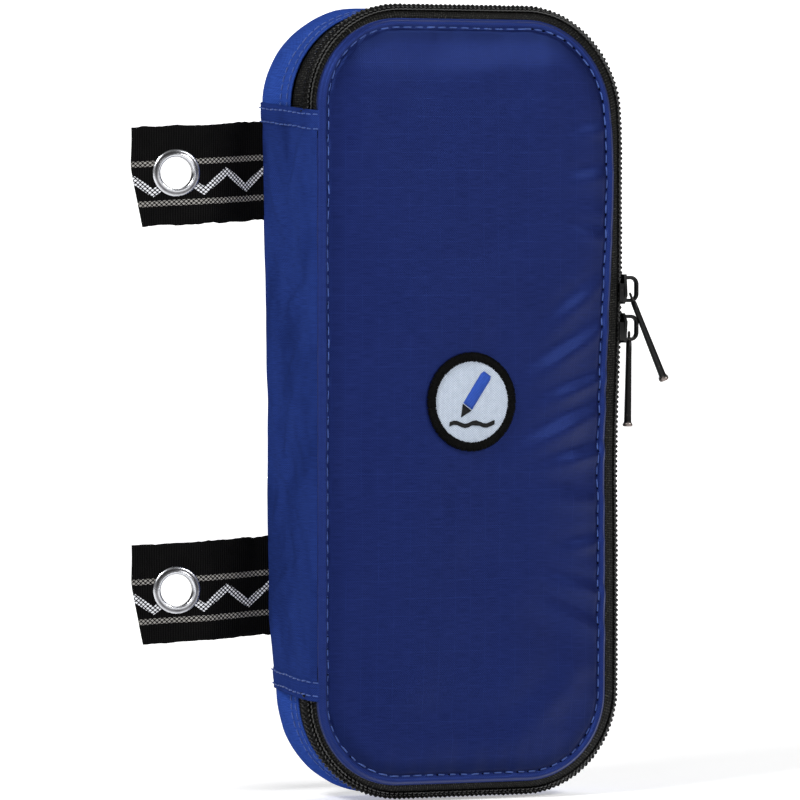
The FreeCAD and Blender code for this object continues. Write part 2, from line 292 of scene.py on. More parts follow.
# soft folds of the cover: x, z of the middle, half length, half width, slope in degrees, depth.
# A fold stands up along its middle and dips on one side.
COVER_FOLDS = [
    (31, 25, 8, 2.2, 38, 0.55), (30, 13, 11, 2.4, 30, 0.7), (32, 3, 9, 1.9, 18, 0.7),
    (29, -7, 13, 2.6, 24, 0.75), (33, -15, 9, 2.0, 12, 0.7), (30, -26, 10, 2.8, -8, 0.5),
    (34, -38, 6, 1.8, 8, 0.5), (33, -49, 8, 2.0, -14, 0.7), (31, -57, 10, 2.4, -24, 0.6),
    (29, -69, 5, 8, 25, 0.6), (22, -80, 12, 4, 40, 0.4), (-30, 70, 7, 4, 60, 0.3),
    (-33, -40, 4, 14, 0, 0.25), (5, 86, 22, 5, 3, 0.4), (-2, -88, 24, 5, -2, 0.5),
    (34, 58, 5, 2.0, 12, 0.5), (34, 43, 5, 1.8, -14, 0.5), (35, 70, 4, 1.6, 8, 0.45),
    (10, 30, 30, 9, 16, 0.25), (-8, -30, 28, 8, -12, 0.25), (15, -50, 22, 7, 10, 0.22),
]


FOLD_GAIN = 1.6


def folds(x, z, lines):
    """The height of all the folds listed in lines, at (x, z)."""
    total = 0
    for fx, fz, length, width, slope, depth in lines:
        ux, uz = x / MM - fx, z / MM - fz
        c, s = math.cos(math.radians(slope)), math.sin(math.radians(slope))
        a, b = (ux * c + uz * s) / length, (-ux * s + uz * c) / width
        if abs(a) < 3 and abs(b) < 3:
            section = math.exp(-b * b) - 0.6 * math.exp(-(b - 1.3) ** 2)
            total += FOLD_GAIN * depth * MM * math.exp(-a * a) * section
    return total


COVER_W = (panel_high.x - panel_low.x) / 2
COVER_H = (panel_high.z - panel_low.z) / 2


def cover_relief(x, z, d):
    """How far the cover's cloth stands out at (x, z), d inside its edge: a rolled edge, a raised
    strip, the dip of the stitches, and the padded swell with its folds."""
    roll = -0.9 * MM * (1 - smooth(0, 1.1 * MM, d))
    strip = 0.35 * MM * smooth(0.2 * MM, 1.2 * MM, d) * (1 - smooth(1.6 * MM, 2.3 * MM, d))
    around = drift(x, z, 2.6, 2.6, 12.0)
    dip = -(0.55 + 0.35 * around) * MM * math.exp(-((d - STITCH_IN - 0.1 * MM * around) / (0.55 * MM)) ** 2)
    crown = 2.5 * MM * (1 - math.exp(-max(d - STITCH_IN, 0) / (11 * MM)))
    pull = 0.62 * MM * ripples(x, z, COVER_W, COVER_H, 3) * smooth(0.4 * MM, 3 * MM, d)
    slow = 1.15 * MM * drift(x, z, 26, 38, 7.3)
    slow += 0.22 * MM * drift(x, z, 9, 12, 2.1)
    dome = 1.8 * MM * smooth(STITCH_IN, 30 * MM, d) * (1 - (z / COVER_H) ** 2)
    slow *= smooth(2 * MM, 12 * MM, d)
    return roll + strip + dip + crown + dome + pull + slow + folds(x, z, COVER_FOLDS)


def swell(x, z, y):
    """Where a point of the cover's rim or the zip has spread to on the slack opening side."""
    share = smooth(0.25, 1.0, (x - MID_X) / COVER_W)
    up = (z - MID_Z) / MM
    slack = 1.65 * smooth(-22, 36, up) * (1 - smooth(66, 97, up)) + 0.45 * math.exp(-((up + 55) / 45) ** 2)
    x += share * MM * slack
    return x, y, z


def cover_point(x, z, lift=0.0):
    """A point of the finished cover, x and z from its middle, standing lift out of the cloth."""
    d = max(edge_distance(x, z, COVER_W, COVER_H, PANEL_R), 0)
    lap = smooth(0.5, 1.0, x / COVER_W) * 1.3 * MM * math.exp(-((z / MM - 57) / 22) ** 2)
    place = swell(MID_X + x, MID_Z + z, FACE_Y - cover_relief(x, z, d) - lift)
    return Vector((place[0] + lap, place[1], place[2]))


cover_panel = panel("cover_panel", (MID_X, MID_Z), COVER_W, COVER_H, PANEL_R, FACE_Y,
                    FACE_Y + 2.4 * MM, cover_relief)
# painted light: "edge" is 1 on the rolled edge and raised strip outside the stitches, a painted highlight, and
# falls below 0 in the trough just inside them, painted shade strongest near the top and bottom
painted_edge_light_and_shade = cover_panel.data.attributes.new("edge", "FLOAT", "POINT")
for v in cover_panel.data.vertices:
    inside = edge_distance(v.co.x - MID_X, v.co.z - MID_Z, COVER_W, COVER_H, PANEL_R)
    painted_trough_shade = smooth(2.1 * MM, 2.9 * MM, inside) * (1 - smooth(3.6 * MM, 7.5 * MM, inside))
    ends = 0.35 + 0.65 * smooth(0.70, 0.96, abs(v.co.z - MID_Z) / COVER_H)
    painted_edge_light_and_shade.data[v.index].value = 1 - smooth(1.9 * MM, 2.6 * MM, inside) - painted_trough_shade * ends
    lap = cover_point(v.co.x - MID_X, v.co.z - MID_Z).x - v.co.x
    v.co.x += lap


def node_group(name, inputs, outputs):
    """An empty shader group with its named float or vector inputs and outputs."""
    group = bpy.data.node_groups.new(name, "ShaderNodeTree")
    for label, kind, value in inputs:
        socket = group.interface.new_socket(label, in_out="INPUT", socket_type="NodeSocket" + kind)
        if value is not None:
            socket.default_value = value
    for label, kind in outputs:
        group.interface.new_socket(label, in_out="OUTPUT", socket_type="NodeSocket" + kind)
    return group, group.nodes.new("NodeGroupInput"), group.nodes.new("NodeGroupOutput")


def maths(tree, operation, a, b=None, c=None):
    """A Math node; each input is a socket or a number."""
    node = tree.nodes.new("ShaderNodeMath")
    node.operation = operation
    for slot, value in enumerate((a, b, c)):
        if value is None:
            continue
        if isinstance(value, (int, float)):
            node.inputs[slot].default_value = value
        else:
            tree.links.new(value, node.inputs[slot])
    return node.outputs[0]


def times(tree, a, b):
    return maths(tree, "MULTIPLY", a, b)


def blotches(tree, vector, scale, detail=2.0):
    node = tree.nodes.new("ShaderNodeTexNoise")
    node.inputs["Scale"].default_value = scale
    node.inputs["Detail"].default_value = detail
    tree.links.new(vector, node.inputs["Vector"])
    return node.outputs["Fac"]


# ripstop: a fine plain weave with a stronger thread every few millimetres each way
ripstop_group, enter, leave = node_group(
    "ripstop_weave",
    [("Cloth", "Vector", None), ("Grid Across", "Float", 4.3 * MM), ("Grid Along", "Float", 4.6 * MM),
     ("Thread", "Float", 0.62 * MM)],
    [("Height", "Float"), ("Grid", "Float"), ("Variation", "Float")])
split = ripstop_group.nodes.new("ShaderNodeSeparateXYZ")
ripstop_group.links.new(enter.outputs["Cloth"], split.inputs[0])
warp = maths(ripstop_group, "SINE", times(ripstop_group, maths(
    ripstop_group, "DIVIDE", split.outputs[0], enter.outputs["Thread"]), 2 * math.pi))
weft = maths(ripstop_group, "SINE", times(ripstop_group, maths(
    ripstop_group, "DIVIDE", split.outputs[1], enter.outputs["Thread"]), 2 * math.pi))
weave = times(ripstop_group, warp, weft)
lines = []
for axis, grid in ((0, "Grid Across"), (1, "Grid Along")):
    half = times(ripstop_group, enter.outputs[grid], 0.5)
    away = maths(ripstop_group, "PINGPONG", split.outputs[axis], half)
    near = maths(ripstop_group, "DIVIDE", away, 0.17 * MM)
    lines.append(maths(ripstop_group, "SUBTRACT", 1.0, maths(ripstop_group, "MINIMUM", near, 1.0)))
grid_mask = maths(ripstop_group, "MAXIMUM", lines[0], lines[1])
grid_fade = blotches(ripstop_group, enter.outputs["Cloth"], 130)
fade_twice = times(ripstop_group, grid_fade, grid_fade)
grid_mask = times(ripstop_group, grid_mask, fade_twice)
height = maths(ripstop_group, "MULTIPLY_ADD", weave, 0.35, times(ripstop_group, grid_mask, 1.2))
patchy = blotches(ripstop_group, enter.outputs["Cloth"], 55)
streak = ripstop_group.nodes.new("ShaderNodeMapping")
streak.inputs["Scale"].default_value = (260, 3600, 1)
ripstop_group.links.new(enter.outputs["Cloth"], streak.inputs["Vector"])
threads = blotches(ripstop_group, streak.outputs["Vector"], 1.0, 1.0)
contrast = maths(ripstop_group, "MULTIPLY_ADD", threads, 2.6, -0.80)
dots = times(ripstop_group, weave, times(ripstop_group, grid_fade, 1.5))
varied = maths(ripstop_group, "ADD", maths(ripstop_group, "MULTIPLY_ADD", patchy, 0.35, dots),
               times(ripstop_group, contrast, 0.65))
ripstop_group.links.new(height, leave.inputs["Height"])
ripstop_group.links.new(grid_mask, leave.inputs["Grid"])
ripstop_group.links.new(varied, leave.inputs["Variation"])


def colour_mix(tree, factor, first, second):
    """Colour first to second as factor goes from 0 to 1; each is a colour or a socket."""
    node = tree.nodes.new("ShaderNodeMix")
    node.data_type = "RGBA"
    for label, value in (("A", first), ("B", second)):
        socket = [s for s in node.inputs if s.name == label and s.type == "RGBA"][0]
        if isinstance(value, tuple):
            socket.default_value = (*value, 1)
        else:
            tree.links.new(value, socket)
    tree.links.new(factor, node.inputs[0])
    return [s for s in node.outputs if s.type == "RGBA"][0]


def bump(tree, height, distance, strength=1.0):
    node = tree.nodes.new("ShaderNodeBump")
    node.inputs["Distance"].default_value = distance
    node.inputs["Strength"].default_value = strength
    tree.links.new(height, node.inputs["Height"])
    return node.outputs["Normal"]


def blank_material(name):
    finish = bpy.data.materials.new(name)
    finish.use_nodes = True
    return finish, finish.node_tree, finish.node_tree.nodes["Principled BSDF"]


def cloth_map(tree):
    """The piece's cloth map, in metres along and across its threads."""
    node = tree.nodes.new("ShaderNodeUVMap")
    node.uv_map = "cloth"
    return node.outputs["UV"]


def ripstop(name, shade, light, grid_colour, shine):
    """Coated ripstop nylon in one blue; "edge" lightens it above 0 and darkens it below, as a painted
    highlight and painted shade along the cover's stitching and as random mottling on the spine.
    """
    finish, tree, surface = blank_material(name)
    weave_node = tree.nodes.new("ShaderNodeGroup")
    weave_node.node_tree = ripstop_group
    tree.links.new(cloth_map(tree), weave_node.inputs["Cloth"])
    base = colour_mix(tree, weave_node.outputs["Variation"], shade, light)
    lined = colour_mix(tree, times(tree, weave_node.outputs["Grid"], 0.40), base, grid_colour)
    # painted light: above 0 "edge" mixes in the grid's lighter blue as a painted highlight, below 0 a near-black
    # blue as painted shade; on the spine it carries random mottling
    light_shade_and_mottle_tone = tree.nodes.new("ShaderNodeAttribute")
    light_shade_and_mottle_tone.attribute_name = "edge"
    highlight_and_pale_mottle = times(tree, maths(tree, "MAXIMUM", light_shade_and_mottle_tone.outputs["Fac"], 0.0), 0.25)
    shade_and_dark_mottle = times(tree, maths(tree, "MINIMUM", light_shade_and_mottle_tone.outputs["Fac"], 0.0), -0.6)
    lit = colour_mix(tree, highlight_and_pale_mottle, lined, grid_colour)
    tree.links.new(colour_mix(tree, shade_and_dark_mottle, lit, (0.001, 0.0015, 0.012)), surface.inputs["Base Color"])
    rough = maths(tree, "MULTIPLY_ADD", weave_node.outputs["Variation"], 0.14, 0.34)
    tree.links.new(rough, surface.inputs["Roughness"])
    tree.links.new(bump(tree, weave_node.outputs["Height"], 0.06 * MM, 0.8), surface.inputs["Normal"])
    surface.inputs["Specular IOR Level"].default_value = shine
    surface.inputs["Specular Tint"].default_value = (0.10, 0.22, 0.9, 1)
    surface.inputs["Sheen Weight"].default_value = 0.02
    surface.inputs["Sheen Roughness"].default_value = 0.35
    surface.inputs["Sheen Tint"].default_value = (0.25, 0.4, 1.0, 1)
    return finish


BLUE_SHADE = (0.0036, 0.0060, 0.038)
BLUE_LIGHT = (0.0088, 0.0142, 0.078)
BLUE_GRID = (0.018, 0.038, 0.180)
cover_panel.data.materials.append(ripstop("ripstop_cover", BLUE_SHADE, BLUE_LIGHT, BLUE_GRID, 0.42))
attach(cover_panel, "cover")
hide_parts("front_panel", "front_pad")

# ---------------------------------------------------------------- rear panel
# The same cloth over foam as the cover, a little flatter. The gusset is sewn to its edge. The
# slack pouch has settled, so on the spine side its foot is shallower and its top leans out.
ZIP_Y = (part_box("front_zipper_coil")[1].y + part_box("rear_zipper_coil")[0].y) / 2
rear_low, rear_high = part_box("rear_panel")
WALL_MID = ((rear_low.x + rear_high.x) / 2, (rear_low.z + rear_high.z) / 2)
WALL_W = (rear_high.x - rear_low.x) / 2
WALL_H = (rear_high.z - rear_low.z) / 2
WALL_R = 25 * MM
BACK_Y = rear_high.y


def settle(x, y, z):
    """Where a point of the soft rear shell has sunk to."""
    back = smooth(ZIP_Y + 2 * MM, BACK_Y, y)
    left = min(max((rear_high.x - x) / (rear_high.x - rear_low.x), 0), 1.1)
    up = (z - MID_Z) / MM
    low = smooth(48, 84, -up)
    x += back * left * (1.5 * low - 1.6 * min(max(up / 76, 0), 1.15)) * MM
    y -= back * left * 2.4 * MM * low
    return x, y, z


def rear_relief(x, z, d):
    """How far the back's cloth stands out at (x, z), d inside its edge."""
    roll = -1.0 * MM * (1 - smooth(0, 2.2 * MM, d))
    crown = 1.1 * MM * (1 - math.exp(-d / (12 * MM)))
    pull = 0.4 * MM * ripples(x, z, WALL_W, WALL_H, 31) * smooth(0.4 * MM, 3 * MM, d)
    slow = 0.6 * MM * drift(x, z, 26, 36, 17.3)
    return roll + crown + pull + slow * smooth(2 * MM, 14 * MM, d)


back_panel = panel("back_panel", WALL_MID, WALL_W, WALL_H, WALL_R, BACK_Y, BACK_Y - 2.4 * MM, rear_relief)
for v in back_panel.data.vertices:
    v.co = settle(*v.co)
back_panel.data.materials.append(ripstop("ripstop_back", BLUE_SHADE, BLUE_LIGHT, BLUE_GRID, 0.18))
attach(back_panel, "base")
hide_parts("rear_panel", "rear_pad")

# ---------------------------------------------------------------- gusset
# The pouch's side wall: one ripstop strip from the zip to the back seam, its front edge folded
# under and sewn down on the zip tape with two rows. It runs from hem to hem of the spine.
GUSSET_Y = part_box("rear_gusset")[0].y
GUSSET_END = 72 * MM
GUSSET_ROWS = (0.11, 0.30)
CLOTH_T = 0.5 * MM


def corner_arc(cx, cz, radius, first, count, whole=False):
    """(x, z, nx, nz) along a quarter circle round (cx, cz), clockwise from first degrees; its last
    point is given only where whole is set."""
    pts = []
    for i in range(count + whole):
        a = math.radians(first - 90 * i / count)
        pts.append((cx + radius * math.cos(a), cz + radius * math.sin(a), math.cos(a), math.sin(a)))
    return pts


def wall_path(mid, half_w, half_h, radius, start):
    """(x, z, nx, nz) round a rounded rectangle from the left side at start above its middle, over
    the top, down the right side and back along the bottom to the left side."""
    up, arc, across, down = 8, 26, 18, 90
    cx, cz = half_w - radius, half_h - radius
    pts = [(-half_w, start + (cz - start) * i / up, -1, 0) for i in range(up)]
    pts += corner_arc(-cx, cz, radius, 180, arc)
    pts += [(-cx + 2 * cx * i / across, half_h, 0, 1) for i in range(across)]
    pts += corner_arc(cx, cz, radius, 90, arc)
    pts += [(half_w, cz - 2 * cz * i / down, 1, 0) for i in range(down)]
    pts += corner_arc(cx, -cz, radius, 0, arc)
    pts += [(cx - 2 * cx * i / across, -half_h, 0, -1) for i in range(across)]
    pts += corner_arc(-cx, -cz, radius, -90, arc)
    pts += [(-half_w, -cz + (cz - start) * i / up, -1, 0) for i in range(up + 1)]
    return [(mid[0] + x, mid[1] + z, nx, nz) for x, z, nx, nz in pts]


def face_outward(obj, merge=None):
    """Turns a closed piece's faces outward, after merging points closer than merge."""
    work = bmesh.new()
    work.from_mesh(obj.data)
    if merge:
        bmesh.ops.remove_doubles(work, verts=work.verts, dist=merge)
    bmesh.ops.recalc_face_normals(work, faces=work.faces)
    work.to_mesh(obj.data)
    work.free()


def skin(name, rings, closed=False):
    """A closed tube through equal rings of points, capped unless its ends meet."""
    count = len(rings[0])
    runs = [0.0]
    for a, b in zip(rings, rings[1:]):
        runs.append(runs[-1] + (Vector(b[0]) - Vector(a[0])).length)
    verts = [p for ring in rings for p in ring]
    faces = []
    uv_of = []
    around = []
    for ring in rings:
        total = [0.0]
        for k in range(count):
            total.append(total[-1] + (Vector(ring[(k + 1) % count]) - Vector(ring[k])).length)
        around.append(total)
    last = len(rings) if closed else len(rings) - 1
    if closed:
        runs.append(runs[-1] + (Vector(rings[0][0]) - Vector(rings[-1][0])).length)
    for j in range(last):
        n = (j + 1) % len(rings)
        for k in range(count):
            m = (k + 1) % count
            faces.append((j * count + k, j * count + m, n * count + m, n * count + k))
            uv_of.append([(around[j][k], runs[j]), (around[j][k + 1], runs[j]),
                          (around[n][k + 1], runs[j + 1]), (around[n][k], runs[j + 1])])
    if not closed:
        faces.append(tuple(range(count))[::-1])
        uv_of.append([(around[0][k], 0) for k in range(count)][::-1])
        faces.append(tuple((len(rings) - 1) * count + k for k in range(count)))
        uv_of.append([(around[-1][k], runs[-1]) for k in range(count)])
    obj = finish_mesh(name, verts, faces)
    layer = obj.data.uv_layers.new(name="cloth")
    for poly, corners in zip(obj.data.polygons, uv_of):
        for k, uv in zip(poly.loop_indices, corners):
            layer.data[k].uv = uv
    face_outward(obj)
    return obj


def gusset_edge(z):
    """The gusset's front edge, nearer the zip at the settled lower end."""
    return GUSSET_Y - 3.6 * MM * smooth(0, 1, (MID_Z - z) / (80 * MM))


def gusset_point(at, share, lift=0.0, run=0.0):
    """A point of the gusset's outer face; share is 0 at the zip and 1 at the back seam."""
    x, z, nx, nz = at
    front = gusset_edge(z)
    y = front + (BACK_Y - 0.4 * MM - front) * share
    puff = 0.9 * MM * math.sin(math.pi * min(max((share - 0.25) / 0.72, 0), 1))
    loose = 0.1 + 2.4 * share * (1 - share) * smooth(0.12, 0.4, share)
    pull = 0.5 * MM * noise.noise(Vector((run / (6 * MM), share * 2.2, 4.0))) * loose
    rows = sum(math.exp(-((share - s) / 0.035) ** 2) for s in GUSSET_ROWS)
    out = CLOTH_T + puff + pull - 0.22 * MM * rows + lift
    out -= 0.8 * MM * smooth(0.9, 1.0, share)
    px, pz = x + nx * out, z + nz * out
    px += (swell(px, pz, y)[0] - px) * (1 - smooth(0.2, 0.9, share))
    return settle(px, y, pz)


gusset_path = wall_path(WALL_MID, WALL_W, WALL_H, WALL_R, GUSSET_END)
shares = [0, 0.02, 0.05, 0.08, 0.11, 0.14, 0.18, 0.23, 0.27, 0.30, 0.33, 0.38, 0.45, 0.53, 0.61, 0.69, 0.77,
          0.85, 0.91, 0.96, 1.0]
PATH_SPLIT = 3
dense_path = []
for a, b in zip(gusset_path, gusset_path[1:]):
    for i in range(PATH_SPLIT):
        dense_path.append(tuple(a[k] + (b[k] - a[k]) * i / PATH_SPLIT for k in range(4)))
dense_path.append(gusset_path[-1])
gusset_rings = []
gusset_run = 0.0
for i, at in enumerate(dense_path):
    if i:
        gusset_run += math.hypot(at[0] - dense_path[i - 1][0], at[1] - dense_path[i - 1][1])
    ring = [gusset_point(at, s, 0, gusset_run) for s in shares]
    inner = [gusset_point(at, s, -CLOTH_T, gusset_run) for s in reversed(shares)]
    gusset_rings.append(ring + inner)
gusset = skin("gusset", gusset_rings)
# painted light: the cover's ripstop with colours about four times lighter, for the brighter light on this side
# wall
gusset_cloth_painted_lighter = ripstop("ripstop_gusset_painted_lighter", (0.012, 0.031, 0.165), (0.026, 0.068, 0.315),
                       (0.03, 0.07, 0.30), 0.0)
gusset.data.materials.append(gusset_cloth_painted_lighter)
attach(gusset, "base")
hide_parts("rear_gusset", "rear_topstitch")

# ---------------------------------------------------------------- spine
# One ripstop strip down the hinge side, from the cover's seam to the back seam, hemmed top and
# bottom over the zip's ends with two rows each. It folds along the line of the zip.
SPINE_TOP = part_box("spine_rear")[1].z
SPINE_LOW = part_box("spine_rear")[0].z
SPINE_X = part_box("spine_rear")[0].x
SPINE_COLUMNS = 32
spine_section = []
for i in range(SPINE_COLUMNS + 1):
    t = i / SPINE_COLUMNS
    y = FACE_Y + 0.9 * MM + (BACK_Y - 0.5 * MM - FACE_Y - 0.9 * MM) * t
    turn = smooth(0, 0.09, t) * (1 - smooth(0.93, 1.0, t))
    bow = math.sin(math.pi * t)
    spine_section.append((SPINE_X + 1.3 * MM - 1.3 * MM * turn - 0.9 * MM * bow * turn, y, t))


# soft folds of the spine: along the depth from its middle, z from the middle, then as the cover's
SPINE_FOLDS = [
    (-6, 62, 9, 1.6, -62, 0.55), (4, 50, 8, 2.2, 60, 0.6), (8, 56, 7, 1.5, 70, 0.5),
    (-9, 44, 8, 1.8, 80, 0.5), (3, 36, 10, 2.2, 35, 0.5), (-7, 27, 9, 2.4, -30, 0.55),
    (6, 18, 8, 2.0, 50, 0.55), (-2, 8, 10, 2.0, -55, 0.5), (9, -2, 8, 1.6, 75, 0.45),
    (-9, -10, 8, 2.0, 60, 0.5), (1, -20, 11, 2.4, 48, 0.55), (8, -30, 8, 1.8, -60, 0.5),
    (-6, -38, 9, 2.2, 65, 0.5), (4, -48, 9, 2.0, -35, 0.5), (-4, -58, 9, 2.0, 55, 0.5),
    (9, -60, 8, 1.6, 80, 0.45),
]
HEM_ROWS = (1.2, 4.8)


def spine_point(index, z, lift=0.0):
    """A point of the spine's cloth at height z and a place of its section, with its hems, soft
    folds, and the crease beside the cover near the top."""
    x, y, t = spine_section[index]
    inside = min(SPINE_TOP - z, z - SPINE_LOW)
    hem = 0.5 * MM * (1 - smooth(4.6 * MM, 5.6 * MM, inside))
    rows = sum(math.exp(-((inside - s * MM) / (0.45 * MM)) ** 2) for s in HEM_ROWS)
    wave = 1.0 * MM * noise.noise(Vector((t * 2.2, z / (19 * MM), 5.5)))
    wave += 0.45 * MM * noise.noise(Vector((t * 5.0, z / (7.5 * MM) + t * 1.6, 8.5)))
    wave += 0.55 * MM * math.exp(-((z - MID_Z - (26 - 70 * t) * MM) / (4 * MM)) ** 2) * math.sin(math.pi * t)
    wave += folds((t - 0.5) * 33 * MM, z - MID_Z, SPINE_FOLDS)
    crease = math.exp(-((t - 0.10) / 0.035) ** 2) * smooth(50 * MM, 56 * MM, z - MID_Z)
    wave -= 1.1 * MM * crease * (1 - smooth(68 * MM, 73 * MM, z - MID_Z))
    calm = math.sin(math.pi * min(max(t, 0), 1)) ** 0.7 * smooth(0, 9 * MM, inside)
    out = lift + hem + wave * calm - 0.16 * MM * rows
    return settle(x - out, y, z)


def hem_slope(point):
    """The spine's ends climb towards the back of the pouch, most near each hem."""
    x, y, z = point
    t = (y - FACE_Y) / (BACK_Y - FACE_Y)
    near = smooth(20 * MM, 76 * MM, abs(z - MID_Z))
    return x, y, z + near * 2.8 * MM * (t - 0.35)


SPINE_ROWS = 190
SPINE_T = 0.9 * MM
spine_rings = []
for j in range(SPINE_ROWS + 1):
    z = SPINE_TOP + (SPINE_LOW - SPINE_TOP) * j / SPINE_ROWS
    outer = [hem_slope(spine_point(k, z)) for k in range(SPINE_COLUMNS + 1)]
    inner = [hem_slope(spine_point(k, z, -SPINE_T)) for k in range(SPINE_COLUMNS, -1, -1)]
    spine_rings.append(outer + inner)
spine = skin("spine", spine_rings)
# painted light: the cover's ripstop with colours about twice as light, for the light that falls on the spine from
# the side
spine_cloth_painted_lighter = ripstop("ripstop_spine_painted_lighter", (0.0085, 0.0165, 0.085), (0.015, 0.034, 0.165),
                      (0.026, 0.055, 0.22), 0.0)
spine.data.materials.append(spine_cloth_painted_lighter)
spine_tone = spine.data.attributes.new("edge", "FLOAT", "POINT")
for v in spine.data.vertices:
    mottle = noise.noise(Vector((v.co.y / (7 * MM), v.co.z / (16 * MM), 3.5)))
    mottle += 0.6 * noise.noise(Vector((v.co.y / (3 * MM), v.co.z / (6 * MM), 9.5)))
    spine_tone.data[v.index].value = min(max(0.5 * mottle, -0.5), 0.5)
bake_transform(spine, "base", "cover", start=(SPINE_X, ZIP_Y + 4.5 * MM, 0), end=(SPINE_X, ZIP_Y - 4.5 * MM, 0))
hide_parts("spine_rear", "spine_front")

# ---------------------------------------------------------------- zip tapes
# Two woven black polyester tapes. The front one is caught in the cover's edge seam and rises to
# the pouch's wall; the rear one runs under the gusset's folded edge. Both end under the hems.
TAPE_T = 0.5 * MM
TAPE_END = 68 * MM
seam_line = wall_path((MID_X, MID_Z), COVER_W, COVER_H, 24 * MM, TAPE_END)
wall_line = wall_path(WALL_MID, WALL_W, WALL_H, WALL_R, TAPE_END)
# share of the way from seam to wall, millimetres out from there, millimetres behind the face
FRONT_PROFILE = [(0, -4.2, 1.9), (0, -0.9, 1.55), (-0.1, 0, 1.55), (0.2, 0, 2.0), (0.45, 0, 2.7),
                 (0.65, 0, 3.4), (0.82, 0, 4.1), (0.93, 0, 4.7), (1, 0, 5.4), (1, 0, 6.9)]
REAR_PROFILE = [(1, 0, 7.1), (1, 0, 9.0), (1, 0.05, 10.5), (1, 0, 13.0), (1, 0, 16.0), (1, -0.3, 19.0)]


def tape_ring(k, profile, depth):
    """The tape's section at station k of the zip's run, depth below its outer face."""
    ring = []
    a, b = seam_line[k], wall_line[k]
    nx, nz = a[2] + b[2], a[3] + b[3]
    size = math.hypot(nx, nz)
    for share, out, y in profile:
        x = a[0] + (b[0] - a[0]) * share + (out * MM - depth) * nx / size
        z = a[1] + (b[1] - a[1]) * share + (out * MM - depth) * nz / size
        ring.append(swell(x, z, FACE_Y + y * MM + depth * 0.4))
    return ring


def wave(tree, value, length):
    """A wave from 0 to 1 that repeats every length along value."""
    swing = maths(tree, "SINE", times(tree, value, 2 * math.pi / length))
    return maths(tree, "MULTIPLY_ADD", swing, 0.5, 0.5)


# zip tape: fine cross ribs with pale flecks on them, and lengthwise cords all across its width
tape_finish, tape_tree, tape_surface = blank_material("zip_tape")
tape_map = cloth_map(tape_tree)
tape_split = tape_tree.nodes.new("ShaderNodeSeparateXYZ")
tape_tree.links.new(tape_map, tape_split.inputs[0])
ribs = wave(tape_tree, tape_split.outputs[1], 0.62 * MM)
cords = maths(tape_tree, "POWER", wave(tape_tree, tape_split.outputs[0], 1.3 * MM), 6.0)
tape_height = maths(tape_tree, "MAXIMUM", times(tape_tree, ribs, 0.75), cords)
tape_patch = blotches(tape_tree, tape_map, 300, 3.0)
tape_light = maths(tape_tree, "MULTIPLY_ADD", tape_patch, 0.9, 0.35)
tape_shade = times(tape_tree, tape_height, tape_light)
tape_dark = colour_mix(tape_tree, tape_shade, (0.0005, 0.0005, 0.0006), (0.010, 0.010, 0.0092))
fleck_spots = maths(tape_tree, "GREATER_THAN", blotches(tape_tree, tape_map, 1700, 1.0), 0.57)
fleck = times(tape_tree, maths(tape_tree, "POWER", ribs, 3.0), fleck_spots)
tape_colour = colour_mix(tape_tree, times(tape_tree, fleck, 0.55), tape_dark, (0.10, 0.10, 0.088))
tape_tree.links.new(tape_colour, tape_surface.inputs["Base Color"])
tape_rough = maths(tape_tree, "MULTIPLY_ADD", tape_patch, 0.25, 0.55)
tape_tree.links.new(tape_rough, tape_surface.inputs["Roughness"])
tape_tree.links.new(bump(tape_tree, tape_height, 0.18 * MM, 0.9), tape_surface.inputs["Normal"])
tape_surface.inputs["Specular IOR Level"].default_value = 0.1


def woven_tape(name, profile, body, *nodes):
    """One tape along the whole zip, riding on body and standing for the given nodes."""
    rings = [tape_ring(k, profile, 0) + tape_ring(k, profile, TAPE_T)[::-1] for k in range(len(seam_line))]
    tape = skin(name, rings)
    tape.data.materials.append(tape_finish)
    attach(tape, body)
    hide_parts(*nodes)
    return tape


front_tape = woven_tape("front_zip_tape", FRONT_PROFILE, "cover", "front_zipper_tape", "front_seam_binding")
rear_tape = woven_tape("rear_zip_tape", REAR_PROFILE, "base", "rear_zipper_tape")

# ---------------------------------------------------------------- zip teeth
# A nylon coil on each tape, sewn down with a chain-stitched cord. Each turn of the coil is a
# small loop that reaches over the gap to its neighbours on the other tape.
TEETH_PITCH = 1.3 * MM


